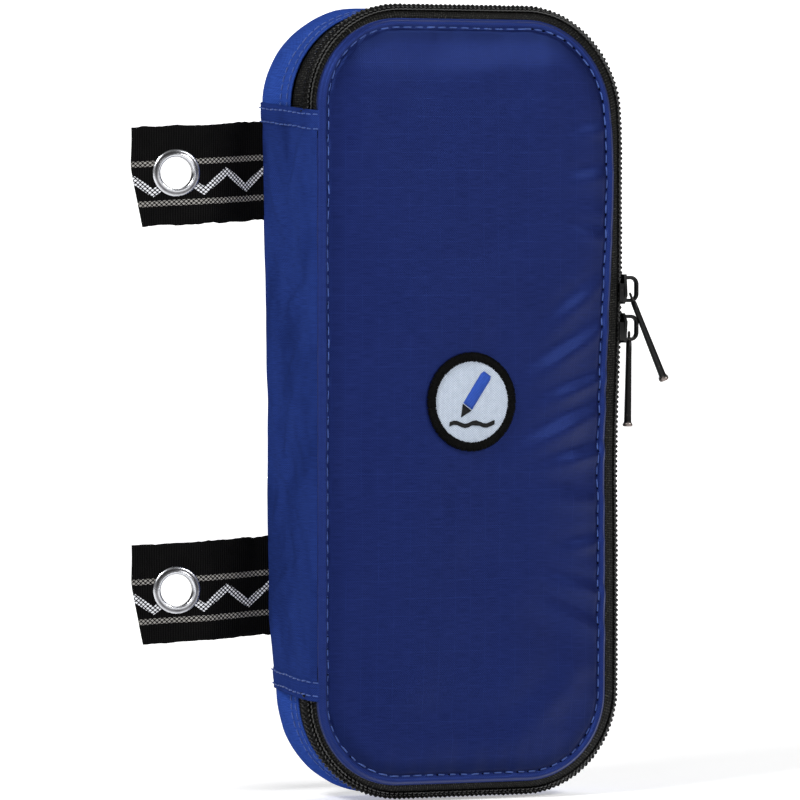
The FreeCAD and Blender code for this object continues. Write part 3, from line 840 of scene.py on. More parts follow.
def row_of_units():
    """Geometry nodes: one unit at every pitch along a line whose points carry an 'out' direction."""
    tree = bpy.data.node_groups.new("row_of_units", "GeometryNodeTree")
    for label, kind, value in (
            ("Geometry", "Geometry", None), ("Unit", "Object", None), ("Pitch", "Float", TEETH_PITCH),
            ("Size Change", "Float", 0.0), ("Turn Change", "Float", 0.0), ("Seed", "Int", 1),
            ("Finish", "Material", None)):
        socket = tree.interface.new_socket(label, in_out="INPUT", socket_type="NodeSocket" + kind)
        if value is not None:
            socket.default_value = value
    tree.interface.new_socket("Geometry", in_out="OUTPUT", socket_type="NodeSocketGeometry")
    link = tree.links.new

    def add(kind, **settings):
        node = tree.nodes.new(kind)
        for setting, value in settings.items():
            setattr(node, setting, value)
        return node

    def random_value(low, high):
        node = add("FunctionNodeRandomValue", data_type="FLOAT")
        link(start.outputs["Seed"], node.inputs["Seed"])
        ends = [s for s in node.inputs if s.type == "VALUE"]
        link(low, ends[0])
        link(high, ends[1])
        return [s for s in node.outputs if s.type == "VALUE"][0]

    start = add("NodeGroupInput")
    stop = add("NodeGroupOutput")
    line = add("GeometryNodeMeshToCurve")
    link(start.outputs["Geometry"], line.inputs[0])
    points = add("GeometryNodeCurveToPoints", mode="LENGTH")
    link(line.outputs[0], points.inputs["Curve"])
    link(start.outputs["Pitch"], points.inputs["Length"])
    along = add("FunctionNodeAlignRotationToVector", axis="Y")
    link(points.outputs["Tangent"], along.inputs["Vector"])
    outward = add("GeometryNodeInputNamedAttribute", data_type="FLOAT_VECTOR")
    outward.inputs["Name"].default_value = "out"
    facing = add("FunctionNodeAlignRotationToVector", axis="Z", pivot_axis="Y")
    link(along.outputs[0], facing.inputs["Rotation"])
    link(outward.outputs[0], facing.inputs["Vector"])
    turn = start.outputs["Turn Change"]
    spin = add("FunctionNodeAxisAngleToRotation")
    spin.inputs["Axis"].default_value = (0, 0, 1)
    link(random_value(times(tree, turn, -1), turn), spin.inputs["Angle"])
    turned = add("FunctionNodeRotateRotation", rotation_space="LOCAL")
    link(facing.outputs[0], turned.inputs[0])
    link(spin.outputs[0], turned.inputs[1])
    change = start.outputs["Size Change"]
    size = random_value(maths(tree, "SUBTRACT", 1, change), maths(tree, "ADD", 1, change))
    unit = add("GeometryNodeObjectInfo")
    link(start.outputs["Unit"], unit.inputs["Object"])
    place = add("GeometryNodeInstanceOnPoints")
    link(points.outputs["Points"], place.inputs["Points"])
    link(unit.outputs["Geometry"], place.inputs["Instance"])
    link(turned.outputs[0], place.inputs["Rotation"])
    link(size, place.inputs["Scale"])
    solid = add("GeometryNodeRealizeInstances")
    link(place.outputs[0], solid.inputs[0])
    dressed = add("GeometryNodeSetMaterial")
    link(solid.outputs[0], dressed.inputs["Geometry"])
    link(start.outputs["Finish"], dressed.inputs["Material"])
    link(dressed.outputs[0], stop.inputs[0])
    return tree


UNIT_ROW = row_of_units()


def lay_along(name, points, outs, unit, pitch, finish, size_change=0.0, turn_change=0.0, seed=1, loop=False):
    """A plain mesh of units laid along a line; outs gives each point's outward direction."""
    mesh = bpy.data.meshes.new(name + "_line")
    edges = [(i, i + 1) for i in range(len(points) - 1)]
    if loop:
        edges.append((len(points) - 1, 0))
    mesh.from_pydata([tuple(p) for p in points], edges, [])
    held = mesh.attributes.new("out", "FLOAT_VECTOR", "POINT")
    for i, out in enumerate(outs):
        held.data[i].vector = out
    line = bpy.data.objects.new(name + "_line", mesh)
    bpy.context.scene.collection.objects.link(line)
    laid = line.modifiers.new("row", "NODES")
    laid.node_group = UNIT_ROW
    values = {"Unit": unit, "Pitch": pitch, "Size Change": size_change, "Turn Change": turn_change,
              "Seed": seed, "Finish": finish}
    for item in UNIT_ROW.interface.items_tree:
        if item.in_out == "INPUT" and item.name in values:
            laid[item.identifier] = values[item.name]
    ready = line.evaluated_get(bpy.context.evaluated_depsgraph_get())
    made = bpy.data.meshes.new_from_object(ready)
    line.modifiers.remove(laid)
    bpy.data.objects.remove(line)
    for extra in [a.name for a in made.attributes if a.name in ("out", "id")]:
        made.attributes.remove(made.attributes[extra])
    made.polygons.foreach_set("use_smooth", [True] * len(made.polygons))
    obj = bpy.data.objects.new(name, made)
    made.name = name
    bpy.context.scene.collection.objects.link(obj)
    return obj


def bead(name, centres, radii, sides=6):
    """A small closed tube through a few centres; a unit for lay_along, kept out of the render."""
    verts = []
    faces = []
    for i, c in enumerate(centres):
        back = Vector(centres[max(i - 1, 0)])
        front = Vector(centres[min(i + 1, len(centres) - 1)])
        axis = (front - back).normalized()
        side = axis.cross(Vector((0, 1, 0)) if abs(axis.y) < 0.8 else Vector((0, 0, 1))).normalized()
        third = axis.cross(side)
        for k in range(sides):
            a = 2 * math.pi * k / sides
            verts.append(Vector(c) + (side * math.cos(a) + third * math.sin(a)) * radii[i])
    for i in range(len(centres) - 1):
        for k in range(sides):
            m = (k + 1) % sides
            faces.append((i * sides + k, i * sides + m, (i + 1) * sides + m, (i + 1) * sides + k))
    faces.append(tuple(range(sides))[::-1])
    faces.append(tuple((len(centres) - 1) * sides + k for k in range(sides)))
    obj = finish_mesh(name, verts, faces)
    face_outward(obj)
    bpy.context.scene.collection.objects.unlink(obj)
    return obj


COIL_END = 75.6 * MM


def zip_line(y, out, start=COIL_END):
    """Points and outward directions along the wall at depth y, standing out from it."""
    line = wall_path(WALL_MID, WALL_W, WALL_H, WALL_R, start)
    points = []
    outs = []
    for x, z, nx, nz in line:
        points.append(swell(x + nx * out, z + nz * out, FACE_Y + y * MM))
        outs.append((nx, 0, nz))
    return points, outs


def mottled(name, scale, dark, light, rough, specular=0.5, sheen=0.0, nap=None):
    """A finish mottled between two colours. rough is a number, or (spread, base) where it follows
    the mottling; nap is the scale, depth and strength of fine fibres."""
    finish, tree, surface = blank_material(name)
    place = tree.nodes.new("ShaderNodeTexCoord").outputs["Object"]
    patches = blotches(tree, place, scale)
    tree.links.new(colour_mix(tree, patches, dark, light), surface.inputs["Base Color"])
    if isinstance(rough, tuple):
        tree.links.new(maths(tree, "MULTIPLY_ADD", patches, *rough), surface.inputs["Roughness"])
    else:
        surface.inputs["Roughness"].default_value = rough
    surface.inputs["Specular IOR Level"].default_value = specular
    surface.inputs["Sheen Weight"].default_value = sheen
    if nap:
        fibres = blotches(tree, place, nap[0], 1.0)
        tree.links.new(bump(tree, fibres, nap[1] * MM, nap[2]), surface.inputs["Normal"])
    return finish


# moulded nylon: smooth and dark, mottled a little as with dust
coil_finish = mottled("zip_coil", 900, (0.0012, 0.0012, 0.0012), (0.008, 0.008, 0.008), (0.25, 0.22), 0.06)

CORE_RISE = 0.75 * MM


def coil_core(name, y, body, node):
    """The cord that fills a coil: a closed tube on the tape's edge, y millimetres behind the face."""
    points, outs = zip_line(y, CORE_RISE)
    rings = []
    for p, out in zip(points, outs):
        ring = []
        for k in range(10):
            a = 2 * math.pi * k / 10
            across = Vector((0, 0.66 * MM * math.cos(a), 0))
            ring.append(Vector(p) + Vector(out) * (0.85 * MM * math.sin(a)) + across)
        rings.append(ring)
    core = skin(name, rings)
    core.data.materials.append(coil_finish)
    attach(core, body)
    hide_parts(node)


COIL_FRONT_Y = 6.25
COIL_REAR_Y = 7.75
COIL_TURN = [(0.80, -0.12, 0.5), (0.55, -0.05, 1.20), (0.1, 0.05, 1.48), (-0.45, 0.15, 1.35),
             (-0.98, 0.22, 0.90), (-1.0, 0.2, 0.2)]
COIL_TURN_R = (0.34, 0.42, 0.44, 0.46, 0.46, 0.34)
coil_core("front_zip_core", COIL_FRONT_Y, "cover", "front_zipper_coil")
coil_core("rear_zip_core", COIL_REAR_Y, "base", "rear_zipper_coil")
# the rear coil is the front one turned over, half a tooth further on
for which, body, y, side, start, seed in (("front", "cover", COIL_FRONT_Y, 1, COIL_END, 5),
                                          ("rear", "base", COIL_REAR_Y, -1, COIL_END - TEETH_PITCH / 2, 6)):
    coil_turn = bead("coil_turn_" + which, [(side * a * MM, b * MM, c * MM) for a, b, c in COIL_TURN],
                     [r * MM for r in COIL_TURN_R], 6)
    points, outs = zip_line(y, 0.15 * MM, start)
    coil = lay_along(which + "_zip_coil", points, outs, coil_turn, TEETH_PITCH, coil_finish, 0.03, 0.05, seed)
    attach(coil, body)

# the cord's chain stitches over the coil: slanted grey-black threads in a row on each side
cord_finish = mottled("zip_cord_thread", 1500, (0.006, 0.006, 0.006), (0.055, 0.055, 0.052), 0.5, sheen=0.3,
                      nap=(6000, 0.05, 0.6))
stitch_unit = bead("cord_stitch", [(-0.30 * MM, -0.62 * MM, 0), (-0.12 * MM, -0.25 * MM, 0.16 * MM),
                                   (0.12 * MM, 0.25 * MM, 0.16 * MM), (0.30 * MM, 0.62 * MM, 0)],
                   [0.10 * MM, 0.17 * MM, 0.17 * MM, 0.10 * MM], 5)
for name, y, out, body in (("front_cord_inner", 4.75, 0.35 * MM, "cover"),
                           ("front_cord_outer", 5.50, 0.95 * MM, "cover"),
                           ("rear_cord_outer", 8.50, 0.95 * MM, "base"),
                           ("rear_cord_inner", 9.25, 0.35 * MM, "base")):
    points, outs = zip_line(y, out)
    cord = lay_along(name, points, outs, stitch_unit, TEETH_PITCH, cord_finish, 0.08, 0.15, 11)
    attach(cord, body)

# ---------------------------------------------------------------- cover topstitching
# One row of blue polyester thread round the cover, 2.3 mm inside its edge, through cloth, foam
# and seam. Between two stitches a small near-black bead stands for the needle hole: painted shade.
STITCH_PITCH = 3.3 * MM


def rounded_loop(half_w, half_h, radius, step=1.5 * MM):
    """(x, z, nx, nz) round a rounded rectangle, once, clockwise from the top right corner."""
    cx, cz = half_w - radius, half_h - radius
    pts = []
    arc = max(int(radius * math.pi / 2 / step), 6)
    for sx, sz, start in ((1, 1, 90), (1, -1, 0), (-1, -1, -90), (-1, 1, -180)):
        pts += corner_arc(sx * cx, sz * cz, radius, start, arc, True)
        x, z, nx, nz = pts[-1]
        ex, ez = {(1, 1): (half_w, -cz), (1, -1): (-cx, -half_h), (-1, -1): (-half_w, cz),
                  (-1, 1): (cx, half_h)}[(sx, sz)]
        count = int(math.hypot(ex - x, ez - z) / step)
        pts += [(x + (ex - x) * i / count, z + (ez - z) * i / count, nx, nz) for i in range(1, count)]
    return pts


# twisted polyester thread in a lighter blue than the cloth
thread_finish = mottled("blue_thread", 700, (0.010, 0.026, 0.13), (0.062, 0.13, 0.42), 0.55, 0.25, 0.15,
                        (7000, 0.05, 0.7))
# painted shade: a near-black blue for the beads that stand for the shade in the needle holes
hole_shade_finish = mottled("needle_hole", 1500, (0.0008, 0.001, 0.004), (0.003, 0.004, 0.016), 1.0, 0.0)


def laid_bead(name, stations, sides):
    """A bead that lies along Y: each station is its y, height and radius in millimetres."""
    centres = [(0, y * MM, z * MM) for y, z, _ in stations]
    return bead(name, centres, [r * MM for _, _, r in stations], sides)


stitch_long = laid_bead("long_stitch", [(-1.22, -0.22, 0.10), (-1.0, 0.02, 0.19), (-0.5, 0.10, 0.21),
                                        (0.5, 0.10, 0.21), (1.0, 0.02, 0.19), (1.22, -0.22, 0.10)], 6)
needle_hole = laid_bead("needle_hole", [(-0.42, -0.02, 0.08), (-0.2, 0.02, 0.27), (0.2, 0.02, 0.27),
                                        (0.42, -0.02, 0.08)], 6)


def waver(i, seed, size):
    """How far point i of a hand-guided row strays from its line, up to about size."""
    return size * noise.noise(Vector((i * 0.11, seed, 0.5)))


def cover_row(inset, lift, shift=0):
    """Points and outward directions of a row round the cover, its start moved on by shift."""
    points = []
    row = rounded_loop(COVER_W - inset, COVER_H - inset, PANEL_R - inset)
    for i, (x, z, nx, nz) in enumerate(row):
        w = waver(i, 3.0, 0.35 * MM)
        points.append(cover_point(x + nx * w, z + nz * w, lift))
    if shift:
        points[0] = points[0].lerp(points[1], min(shift / (points[1] - points[0]).length, 1))
    return points, [(0, -1, 0)] * len(points)


points, outs = cover_row(STITCH_IN, 0.06 * MM)
cover_stitches = lay_along("cover_topstitches", points, outs, stitch_long, STITCH_PITCH, thread_finish,
                           0.06, 0.05, 21)
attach(cover_stitches, "cover")
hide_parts("front_topstitch")
# painted shade: a dark bead between each two stitches, where the needle hole lies
points, outs = cover_row(STITCH_IN, 0.02 * MM, STITCH_PITCH / 2)
cover_hole_shades = lay_along("cover_needle_holes", points, outs, needle_hole, STITCH_PITCH, hole_shade_finish,
                        0.1, 0.2, 22)
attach(cover_hole_shades, "cover")

# ---------------------------------------------------------------- gusset and hem stitching
# Two rows hold the gusset's folded edge on the zip tape, and two rows hold each hem of the
# spine. The same blue thread, looser and a little furry on the gusset.
SHORT_PITCH = 2.35 * MM
short_stitch = laid_bead("short_stitch", [(-0.95, -0.16, 0.10), (-0.6, 0.08, 0.19), (0.6, 0.08, 0.19),
                                          (0.95, -0.16, 0.10)], 5)
for name, share in (("gusset_stitches_front", GUSSET_ROWS[0]), ("gusset_stitches_back", GUSSET_ROWS[1])):
    points = []
    outs = []
    run = 0.0
    for i, at in enumerate(gusset_path):
        if i:
            run += math.hypot(at[0] - gusset_path[i - 1][0], at[1] - gusset_path[i - 1][1])
        points.append(gusset_point(at, share + waver(i, 9.0 + share, 0.02), 0.10 * MM, run))
        outs.append((at[2], 0, at[3]))
    row = lay_along(name, points, outs, short_stitch, SHORT_PITCH, thread_finish, 0.1, 0.12, 31)
    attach(row, "base")
for name, inside, top in (("upper_hem_row_1", HEM_ROWS[0], True), ("upper_hem_row_2", HEM_ROWS[1], True),
                          ("lower_hem_row_1", HEM_ROWS[0], False), ("lower_hem_row_2", HEM_ROWS[1], False)):
    z = SPINE_TOP - inside * MM if top else SPINE_LOW + inside * MM
    points = []
    for k in range(1, SPINE_COLUMNS - 1):
        points.append(hem_slope(spine_point(k, z + waver(k, inside + top, 0.5 * MM), 0.08 * MM)))
    outs = [(-1, 0, 0)] * len(points)
    row = lay_along(name, points, outs, short_stitch, SHORT_PITCH, thread_finish, 0.08, 0.1, 41)
    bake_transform(row, "base", "cover", start=(SPINE_X, ZIP_Y + 4.5 * MM, 0), end=(SPINE_X, ZIP_Y - 4.5 * MM, 0))

# ---------------------------------------------------------------- binder tabs
# Two tabs of inch-wide black webbing, caught in the seam behind the spine. A pattern of pale
# picks is woven into their face. The raw end is sealed at a slant and each tab has one eyelet.
# half the band's thickness
WEB_T = 0.55 * MM
# millimetres from the eyelet's middle: the band's edges, its root in the seam, the hole's edge,
# and how far the band's own middle lies below it
WEB_HALF = 12.9
ROOT_X = 26.7
HOLE_EDGE = 4.5
WEB_DROP = 0.63
# how far the free end is turned, as its slope in depth
WEB_TURN = 0.21

# webbing: ribs across the band, and small pale picks where the pattern floats over them
web_finish, web_tree, web_surface = blank_material("webbing")
web_map = cloth_map(web_tree)
web_split = web_tree.nodes.new("ShaderNodeSeparateXYZ")
web_tree.links.new(web_map, web_split.inputs[0])
along_web, across_web = web_split.outputs[0], web_split.outputs[1]
RIB = 0.62 * MM
rib_wave = wave(web_tree, along_web, RIB)
pick_wave = wave(web_tree, across_web, 0.5 * MM)
web_height = maths(web_tree, "MULTIPLY_ADD", pick_wave, 0.25, times(web_tree, rib_wave, 0.75))
PICK = 0.55 * MM
column = maths(web_tree, "DIVIDE", along_web, 2 * RIB)
pick_row = maths(web_tree, "DIVIDE", across_web, PICK)
row_odd = maths(web_tree, "FLOORED_MODULO", maths(web_tree, "FLOOR", pick_row), 2.0)
row_shift = times(web_tree, row_odd, 0.5)
shifted = maths(web_tree, "FRACT", maths(web_tree, "ADD", column, row_shift))
cell_x = maths(web_tree, "ABSOLUTE", maths(web_tree, "SUBTRACT", shifted, 0.5))
cell_z = maths(web_tree, "ABSOLUTE", maths(web_tree, "SUBTRACT", maths(web_tree, "FRACT", pick_row), 0.5))
cell_reach = maths(web_tree, "ADD", cell_x, times(web_tree, cell_z, 0.45))
dash = maths(web_tree, "LESS_THAN", cell_reach, 0.36)


def band(tree, value, middle, half):
    """1 where value lies within half of middle, else 0; middle is a socket or a number."""
    off = maths(tree, "ABSOLUTE", maths(tree, "SUBTRACT", value, middle))
    return maths(tree, "LESS_THAN", off, half)


# a plain zigzag between two rows of smaller picks
swing = maths(web_tree, "PINGPONG", maths(web_tree, "ADD", along_web, 0.5), 6.5 * MM)
middle = maths(web_tree, "ADD", times(web_tree, swing, 0.72), -4.3 * MM)
in_zigzag = band(web_tree, across_web, middle, 1.15 * MM)
upper_row = band(web_tree, across_web, 3.3 * MM, 0.75 * MM)
lower_row = band(web_tree, across_web, -7.1 * MM, 0.75 * MM)
rows_mask = times(web_tree, maths(web_tree, "ADD", upper_row, lower_row), dash)
zigzag_mask = times(web_tree, in_zigzag, dash)
web_noise = blotches(web_tree, web_map, 260, 3.0)
web_shade = times(web_tree, web_height, maths(web_tree, "MULTIPLY_ADD", web_noise, 0.8, 0.3))
web_black = colour_mix(web_tree, web_shade, (0.0003, 0.0003, 0.0004), (0.0062, 0.0060, 0.0060))
web_grey = colour_mix(web_tree, rows_mask, web_black, (0.24, 0.23, 0.215))
web_colour = colour_mix(web_tree, zigzag_mask, web_grey, (0.62, 0.63, 0.66))
web_tree.links.new(web_colour, web_surface.inputs["Base Color"])
pattern_rise = times(web_tree, maths(web_tree, "MAXIMUM", rows_mask, zigzag_mask), 0.5)
web_rise = maths(web_tree, "ADD", web_height, pattern_rise)
web_tree.links.new(bump(web_tree, web_rise, 0.14 * MM, 0.9), web_surface.inputs["Normal"])
web_tree.links.new(maths(web_tree, "MULTIPLY_ADD", web_noise, 0.2, 0.6), web_surface.inputs["Roughness"])
web_surface.inputs["Specular IOR Level"].default_value = 0.03


def web_end(v):
    """How far out the slanted raw end reaches at v, from -1 at the band's foot to 1 at its top."""
    return -11.5 + 2.9 * max((0.3 - v) / 1.3, 0) ** 1.25 - 0.3 * max(0.6 - abs(v - 0.2), 0)


def web_place(x, v, side, seed):
    """Where x millimetres along the band and v across it lies; side is 1 in front, -1 behind."""
    edge_in = (1 - abs(v)) * WEB_HALF
    end_in = x - web_end(v)
    round_off = math.sqrt(max(1 - (1 - min(min(edge_in, end_in) / 0.7, 1)) ** 2, 0))
    z = 0.056 * x - WEB_DROP + v * WEB_HALF
    ragged = 0.45 * noise.noise(Vector((x / 5.0, seed, v))) + 0.22 * noise.noise(Vector((x / 1.5, seed, v)))
    z += ragged * abs(v) ** 3
    free = smooth(6.3, 10.5, math.hypot(x, z)) * (1 - smooth(17, 24, x))
    y = (0.75 * noise.noise(Vector((x / 11, z / 13, seed))) - 0.35 * math.sin(x * 0.35 + v)) * free
    y -= WEB_TURN * x * (1 - smooth(7, 23, x))
    return Vector((x * MM, y * MM - side * WEB_T * (0.25 + 0.75 * round_off), z * MM))


def webbing(name, seed):
    """A band with a round hole: rings of faces from the hole out to a square, and columns of
    faces from that square's right side to the root; a front, a back and the edges between."""
    side = 26
    around = [("right", -1 + 2 * i / side) for i in range(side)]
    around += [("top", 1 - i / side) for i in range(side)]
    around += [("left", 1 - 2 * i / side) for i in range(side)]
    around += [("foot", i / side) for i in range(side)]
    rings = 16
    split_x = 12.0
    outer = []
    for where, t in around:
        if where == "right":
            outer.append((split_x, t))
        elif where == "left":
            outer.append((web_end(t), t))
        else:
            v = 1 if where == "top" else -1
            outer.append((web_end(v) + (split_x - web_end(v)) * t, v))
    verts = []
    uvs = []
    faces = []

    def add(x, v, front):
        verts.append(web_place(x, v, 1 if front else -1, seed))
        uvs.append((x * MM, v * WEB_HALF * MM))
        return len(verts) - 1

    sheets = {}
    for front in (True, False):
        grid = []
        for k in range(rings + 1):
            t = 1 - (1 - k / rings) ** 1.6
            row = []
            for x, v in outer:
                z = v * WEB_HALF - WEB_DROP
                a = math.atan2(z, x)
                cx, cz = HOLE_EDGE * math.cos(a), HOLE_EDGE * math.sin(a)
                px, pz = cx + (x - cx) * t, cz + (z - cz) * t
                row.append(add(px, (pz + WEB_DROP) / WEB_HALF, front))
            grid.append(row)
        count = len(outer)
        for k in range(rings):
            for i in range(count):
                m = (i + 1) % count
                quad = (grid[k][i], grid[k + 1][i], grid[k + 1][m], grid[k][m])
                faces.append(quad if front else quad[::-1])
        columns = [[grid[rings][i] for i in range(side + 1)]]
        length = 24
        for j in range(1, length + 1):
            x = split_x + (ROOT_X - split_x) * j / length
            columns.append([add(x, -1 + 2 * i / side, front) for i in range(side + 1)])
        for j in range(length):
            for i in range(side):
                quad = (columns[j][i], columns[j + 1][i], columns[j + 1][i + 1], columns[j][i + 1])
                faces.append(quad if front else quad[::-1])
        sheets[front] = (grid, columns)
    front, back = sheets[True], sheets[False]
    count = len(outer)
    for i in range(count):
        m = (i + 1) % count
        faces.append((front[0][0][i], front[0][0][m], back[0][0][m], back[0][0][i]))
    rim_f = [front[1][j][0] for j in range(len(front[1]) - 1, -1, -1)]
    rim_b = [back[1][j][0] for j in range(len(back[1]) - 1, -1, -1)]
    loop = list(range(count - 1, side, -1)) + [side]
    rim_f += [front[0][rings][i] for i in loop]
    rim_b += [back[0][rings][i] for i in loop]
    rim_f += [front[1][j][side] for j in range(1, len(front[1]))]
    rim_b += [back[1][j][side] for j in range(1, len(back[1]))]
    rim_f += [front[1][-1][i] for i in range(side - 1, -1, -1)]
    rim_b += [back[1][-1][i] for i in range(side - 1, -1, -1)]
    for k in range(len(rim_f) - 1):
        faces.append((rim_f[k], rim_f[k + 1], rim_b[k + 1], rim_b[k]))
    obj = finish_mesh(name, verts, faces, uvs)
    face_outward(obj, 1e-7)
    return obj


for which, seed in (("upper", 2.3), ("lower", 8.1)):
    low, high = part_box("tab_webbing_" + which)
    web = webbing("webbing_" + which, seed)
    mid_z = (low.z + high.z) / 2
    seam_shift = settle(ROOT_X * MM, BACK_Y, mid_z)[0] - ROOT_X * MM
    for v in web.data.vertices:
        v.co += Vector((seam_shift * smooth(12 * MM, ROOT_X * MM, v.co.x), (low.y + high.y) / 2, mid_z))
    web.data.materials.append(web_finish)
    fold = high.x
    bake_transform(web, "base", "tab_" + which, start=(fold + 1.6 * MM, 0, 0), end=(fold - 1.8 * MM, 0, 0))
    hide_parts("tab_webbing_" + which, "tab_root_" + which)

# ---------------------------------------------------------------- eyelets
# Nickel-plated brass eyelets: a rolled flange in front, a barrel through the webbing, and a
# flat washer behind that the barrel's end is set over.
nickel, nickel_tree, nickel_surface = blank_material("nickel_plate")
nickel_place = nickel_tree.nodes.new("ShaderNodeTexCoord")
nickel_noise = blotches(nickel_tree, nickel_place.outputs["Object"], 420, 4.0)
nickel_fine = blotches(nickel_tree, nickel_place.outputs["Object"], 3500, 2.0)
# painted shade: where the profiles mark a hollow the plate is mixed patchily towards near-black (0.085, 0.082,
# 0.088): the valley between the flange's two rolls, inside the barrel and underneath
nickel_shade_attribute = nickel_tree.nodes.new("ShaderNodeAttribute")
nickel_shade_attribute.attribute_name = "hollow"
nickel_shade_patches = maths(nickel_tree, "MULTIPLY_ADD", nickel_noise, 0.5, 0.7)
nickel_painted_shade = times(nickel_tree, nickel_shade_attribute.outputs["Fac"], nickel_shade_patches)
nickel_tree.links.new(colour_mix(nickel_tree, nickel_painted_shade, (0.62, 0.63, 0.66), (0.085, 0.082, 0.088)),
                      nickel_surface.inputs["Base Color"])
nickel_surface.inputs["Metallic"].default_value = 1.0
nickel_rough = maths(nickel_tree, "MULTIPLY_ADD", nickel_noise, 0.22, 0.16)
nickel_tree.links.new(nickel_rough, nickel_surface.inputs["Roughness"])
nickel_tree.links.new(bump(nickel_tree, nickel_fine, 0.012 * MM, 0.5), nickel_surface.inputs["Normal"])


def turned(name, profile, middle, steps=72):
    """A closed ring about the Y axis, turned with the webbing; profile is (radius, y, hollow), the
    first two in millimetres and hollow 1 where the plate takes its full painted shade."""
    verts = []
    shade = []
    for i in range(steps):
        a = 2 * math.pi * i / steps
        for r, y, hollow in profile:
            across = r * math.cos(a)
            spot = Vector((across + WEB_TURN * y, y - WEB_TURN * across, r * math.sin(a)))
            verts.append(Vector(middle) + spot * MM)
            shade.append(hollow)
    n = len(profile)
    faces = []
    for i in range(steps):
        j = (i + 1) % steps
        for k in range(n):
            m = (k + 1) % n
            faces.append((i * n + k, i * n + m, j * n + m, j * n + k))
    obj = finish_mesh(name, verts, faces)
    held = obj.data.attributes.new("hollow", "FLOAT", "POINT")
    held.data.foreach_set("value", shade)
    face_outward(obj)
    return obj


# the flange starts on the barrel's inside, rolls over in front and returns down the barrel; each
# point's third value is how much painted shade it takes
FLANGE = [(4.12, 0.4, 1.0), (4.10, -0.4, 0.9), (4.16, -0.80, 0.55), (4.28, -1.05, 0.15),
          (4.45, -1.20, 0.0), (4.66, -1.26, 0.0), (4.86, -1.22, 0.25), (5.04, -1.14, 0.75),
          (5.26, -1.06, 1.0), (5.50, -1.02, 0.9), (5.72, -0.96, 0.45), (5.92, -0.86, 0.05),
          (6.08, -0.74, 0.0), (6.14, -0.62, 0.1), (6.0, -0.55, 0.6), (5.0, -0.60, 1.0),
          (4.40, -0.55, 1.0), (4.38, 0.3, 1.0), (4.50, 0.95, 0.6), (4.78, 1.10, 0.2),
          (5.1, 1.04, 0.2), (5.12, 0.95, 0.4), (4.75, 0.98, 0.5), (4.35, 1.22, 0.1), (4.16, 0.98, 0.4)]
WASHER = [(4.5, 0.52, 0.5), (6.1, 0.52, 0.4), (6.22, 0.62, 0.0), (6.16, 0.80, 0.0), (5.7, 0.90, 0.1),
          (4.9, 0.93, 0.6), (4.5, 0.90, 0.8)]
for which in ("upper", "lower"):
    low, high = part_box("eyelet_" + which)
    middle = ((low.x + high.x) / 2, 0, (low.z + high.z) / 2)
    for kind, profile in (("eyelet", FLANGE), ("washer", WASHER)):
        ring = turned(kind + "_ring_" + which, profile, middle)
        ring.data.materials.append(nickel)
        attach(ring, "tab_" + which)
        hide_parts(kind + "_" + which)

# ---------------------------------------------------------------- round patch
# A woven badge sewn to the cover: pale satin ground, a black overlocked rim, and a plain pencil
# over a drawn line worked in blue and black thread.
PATCH_R = 11.6 * MM
RIM_R = 1.12 * MM
patch_low, patch_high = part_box("patch_border")
PATCH_MID = ((patch_low.x + patch_high.x) / 2 - MID_X, (patch_low.z + patch_high.z) / 2 - MID_Z)

# satin ground: rows of short vertical floats, pale blue-grey, in brick order
ground_finish, ground_tree, ground_surface = blank_material("patch_ground")
ground_map = cloth_map(ground_tree)
ground_split = ground_tree.nodes.new("ShaderNodeSeparateXYZ")
ground_tree.links.new(ground_map, ground_split.inputs[0])
ground_col = maths(ground_tree, "DIVIDE", ground_split.outputs[0], 0.36 * MM)
ground_odd = maths(ground_tree, "FLOORED_MODULO", maths(ground_tree, "FLOOR", ground_col), 2.0)
ground_odd = times(ground_tree, ground_odd, 0.5)
ground_row = maths(ground_tree, "DIVIDE", ground_split.outputs[1], 0.62 * MM)
ground_row = maths(ground_tree, "ADD", ground_row, ground_odd)


def hump(tree, value):
    """A half wave over each whole step of value, 0 at its ends and 1 in the middle."""
    return maths(tree, "SINE", times(tree, maths(tree, "FRACT", value), math.pi))


float_x = hump(ground_tree, ground_col)
float_z = hump(ground_tree, ground_row)
floats = maths(ground_tree, "POWER", times(ground_tree, float_x, float_z), 0.5)
ground_noise = blotches(ground_tree, ground_map, 500, 3.0)
ground_light = maths(ground_tree, "MULTIPLY_ADD", ground_noise, 0.7, 0.6)
ground_shade = times(ground_tree, floats, ground_light)
ground_tree.links.new(colour_mix(ground_tree, ground_shade, (0.18, 0.22, 0.30), (0.52, 0.58, 0.66)),
                      ground_surface.inputs["Base Color"])
ground_tree.links.new(bump(ground_tree, floats, 0.10 * MM, 0.8), ground_surface.inputs["Normal"])
ground_surface.inputs["Roughness"].default_value = 0.55
ground_surface.inputs["Specular IOR Level"].default_value = 0.3


def patch_point(x, z, lift):
    return cover_point(PATCH_MID[0] + x, PATCH_MID[1] + z, lift)


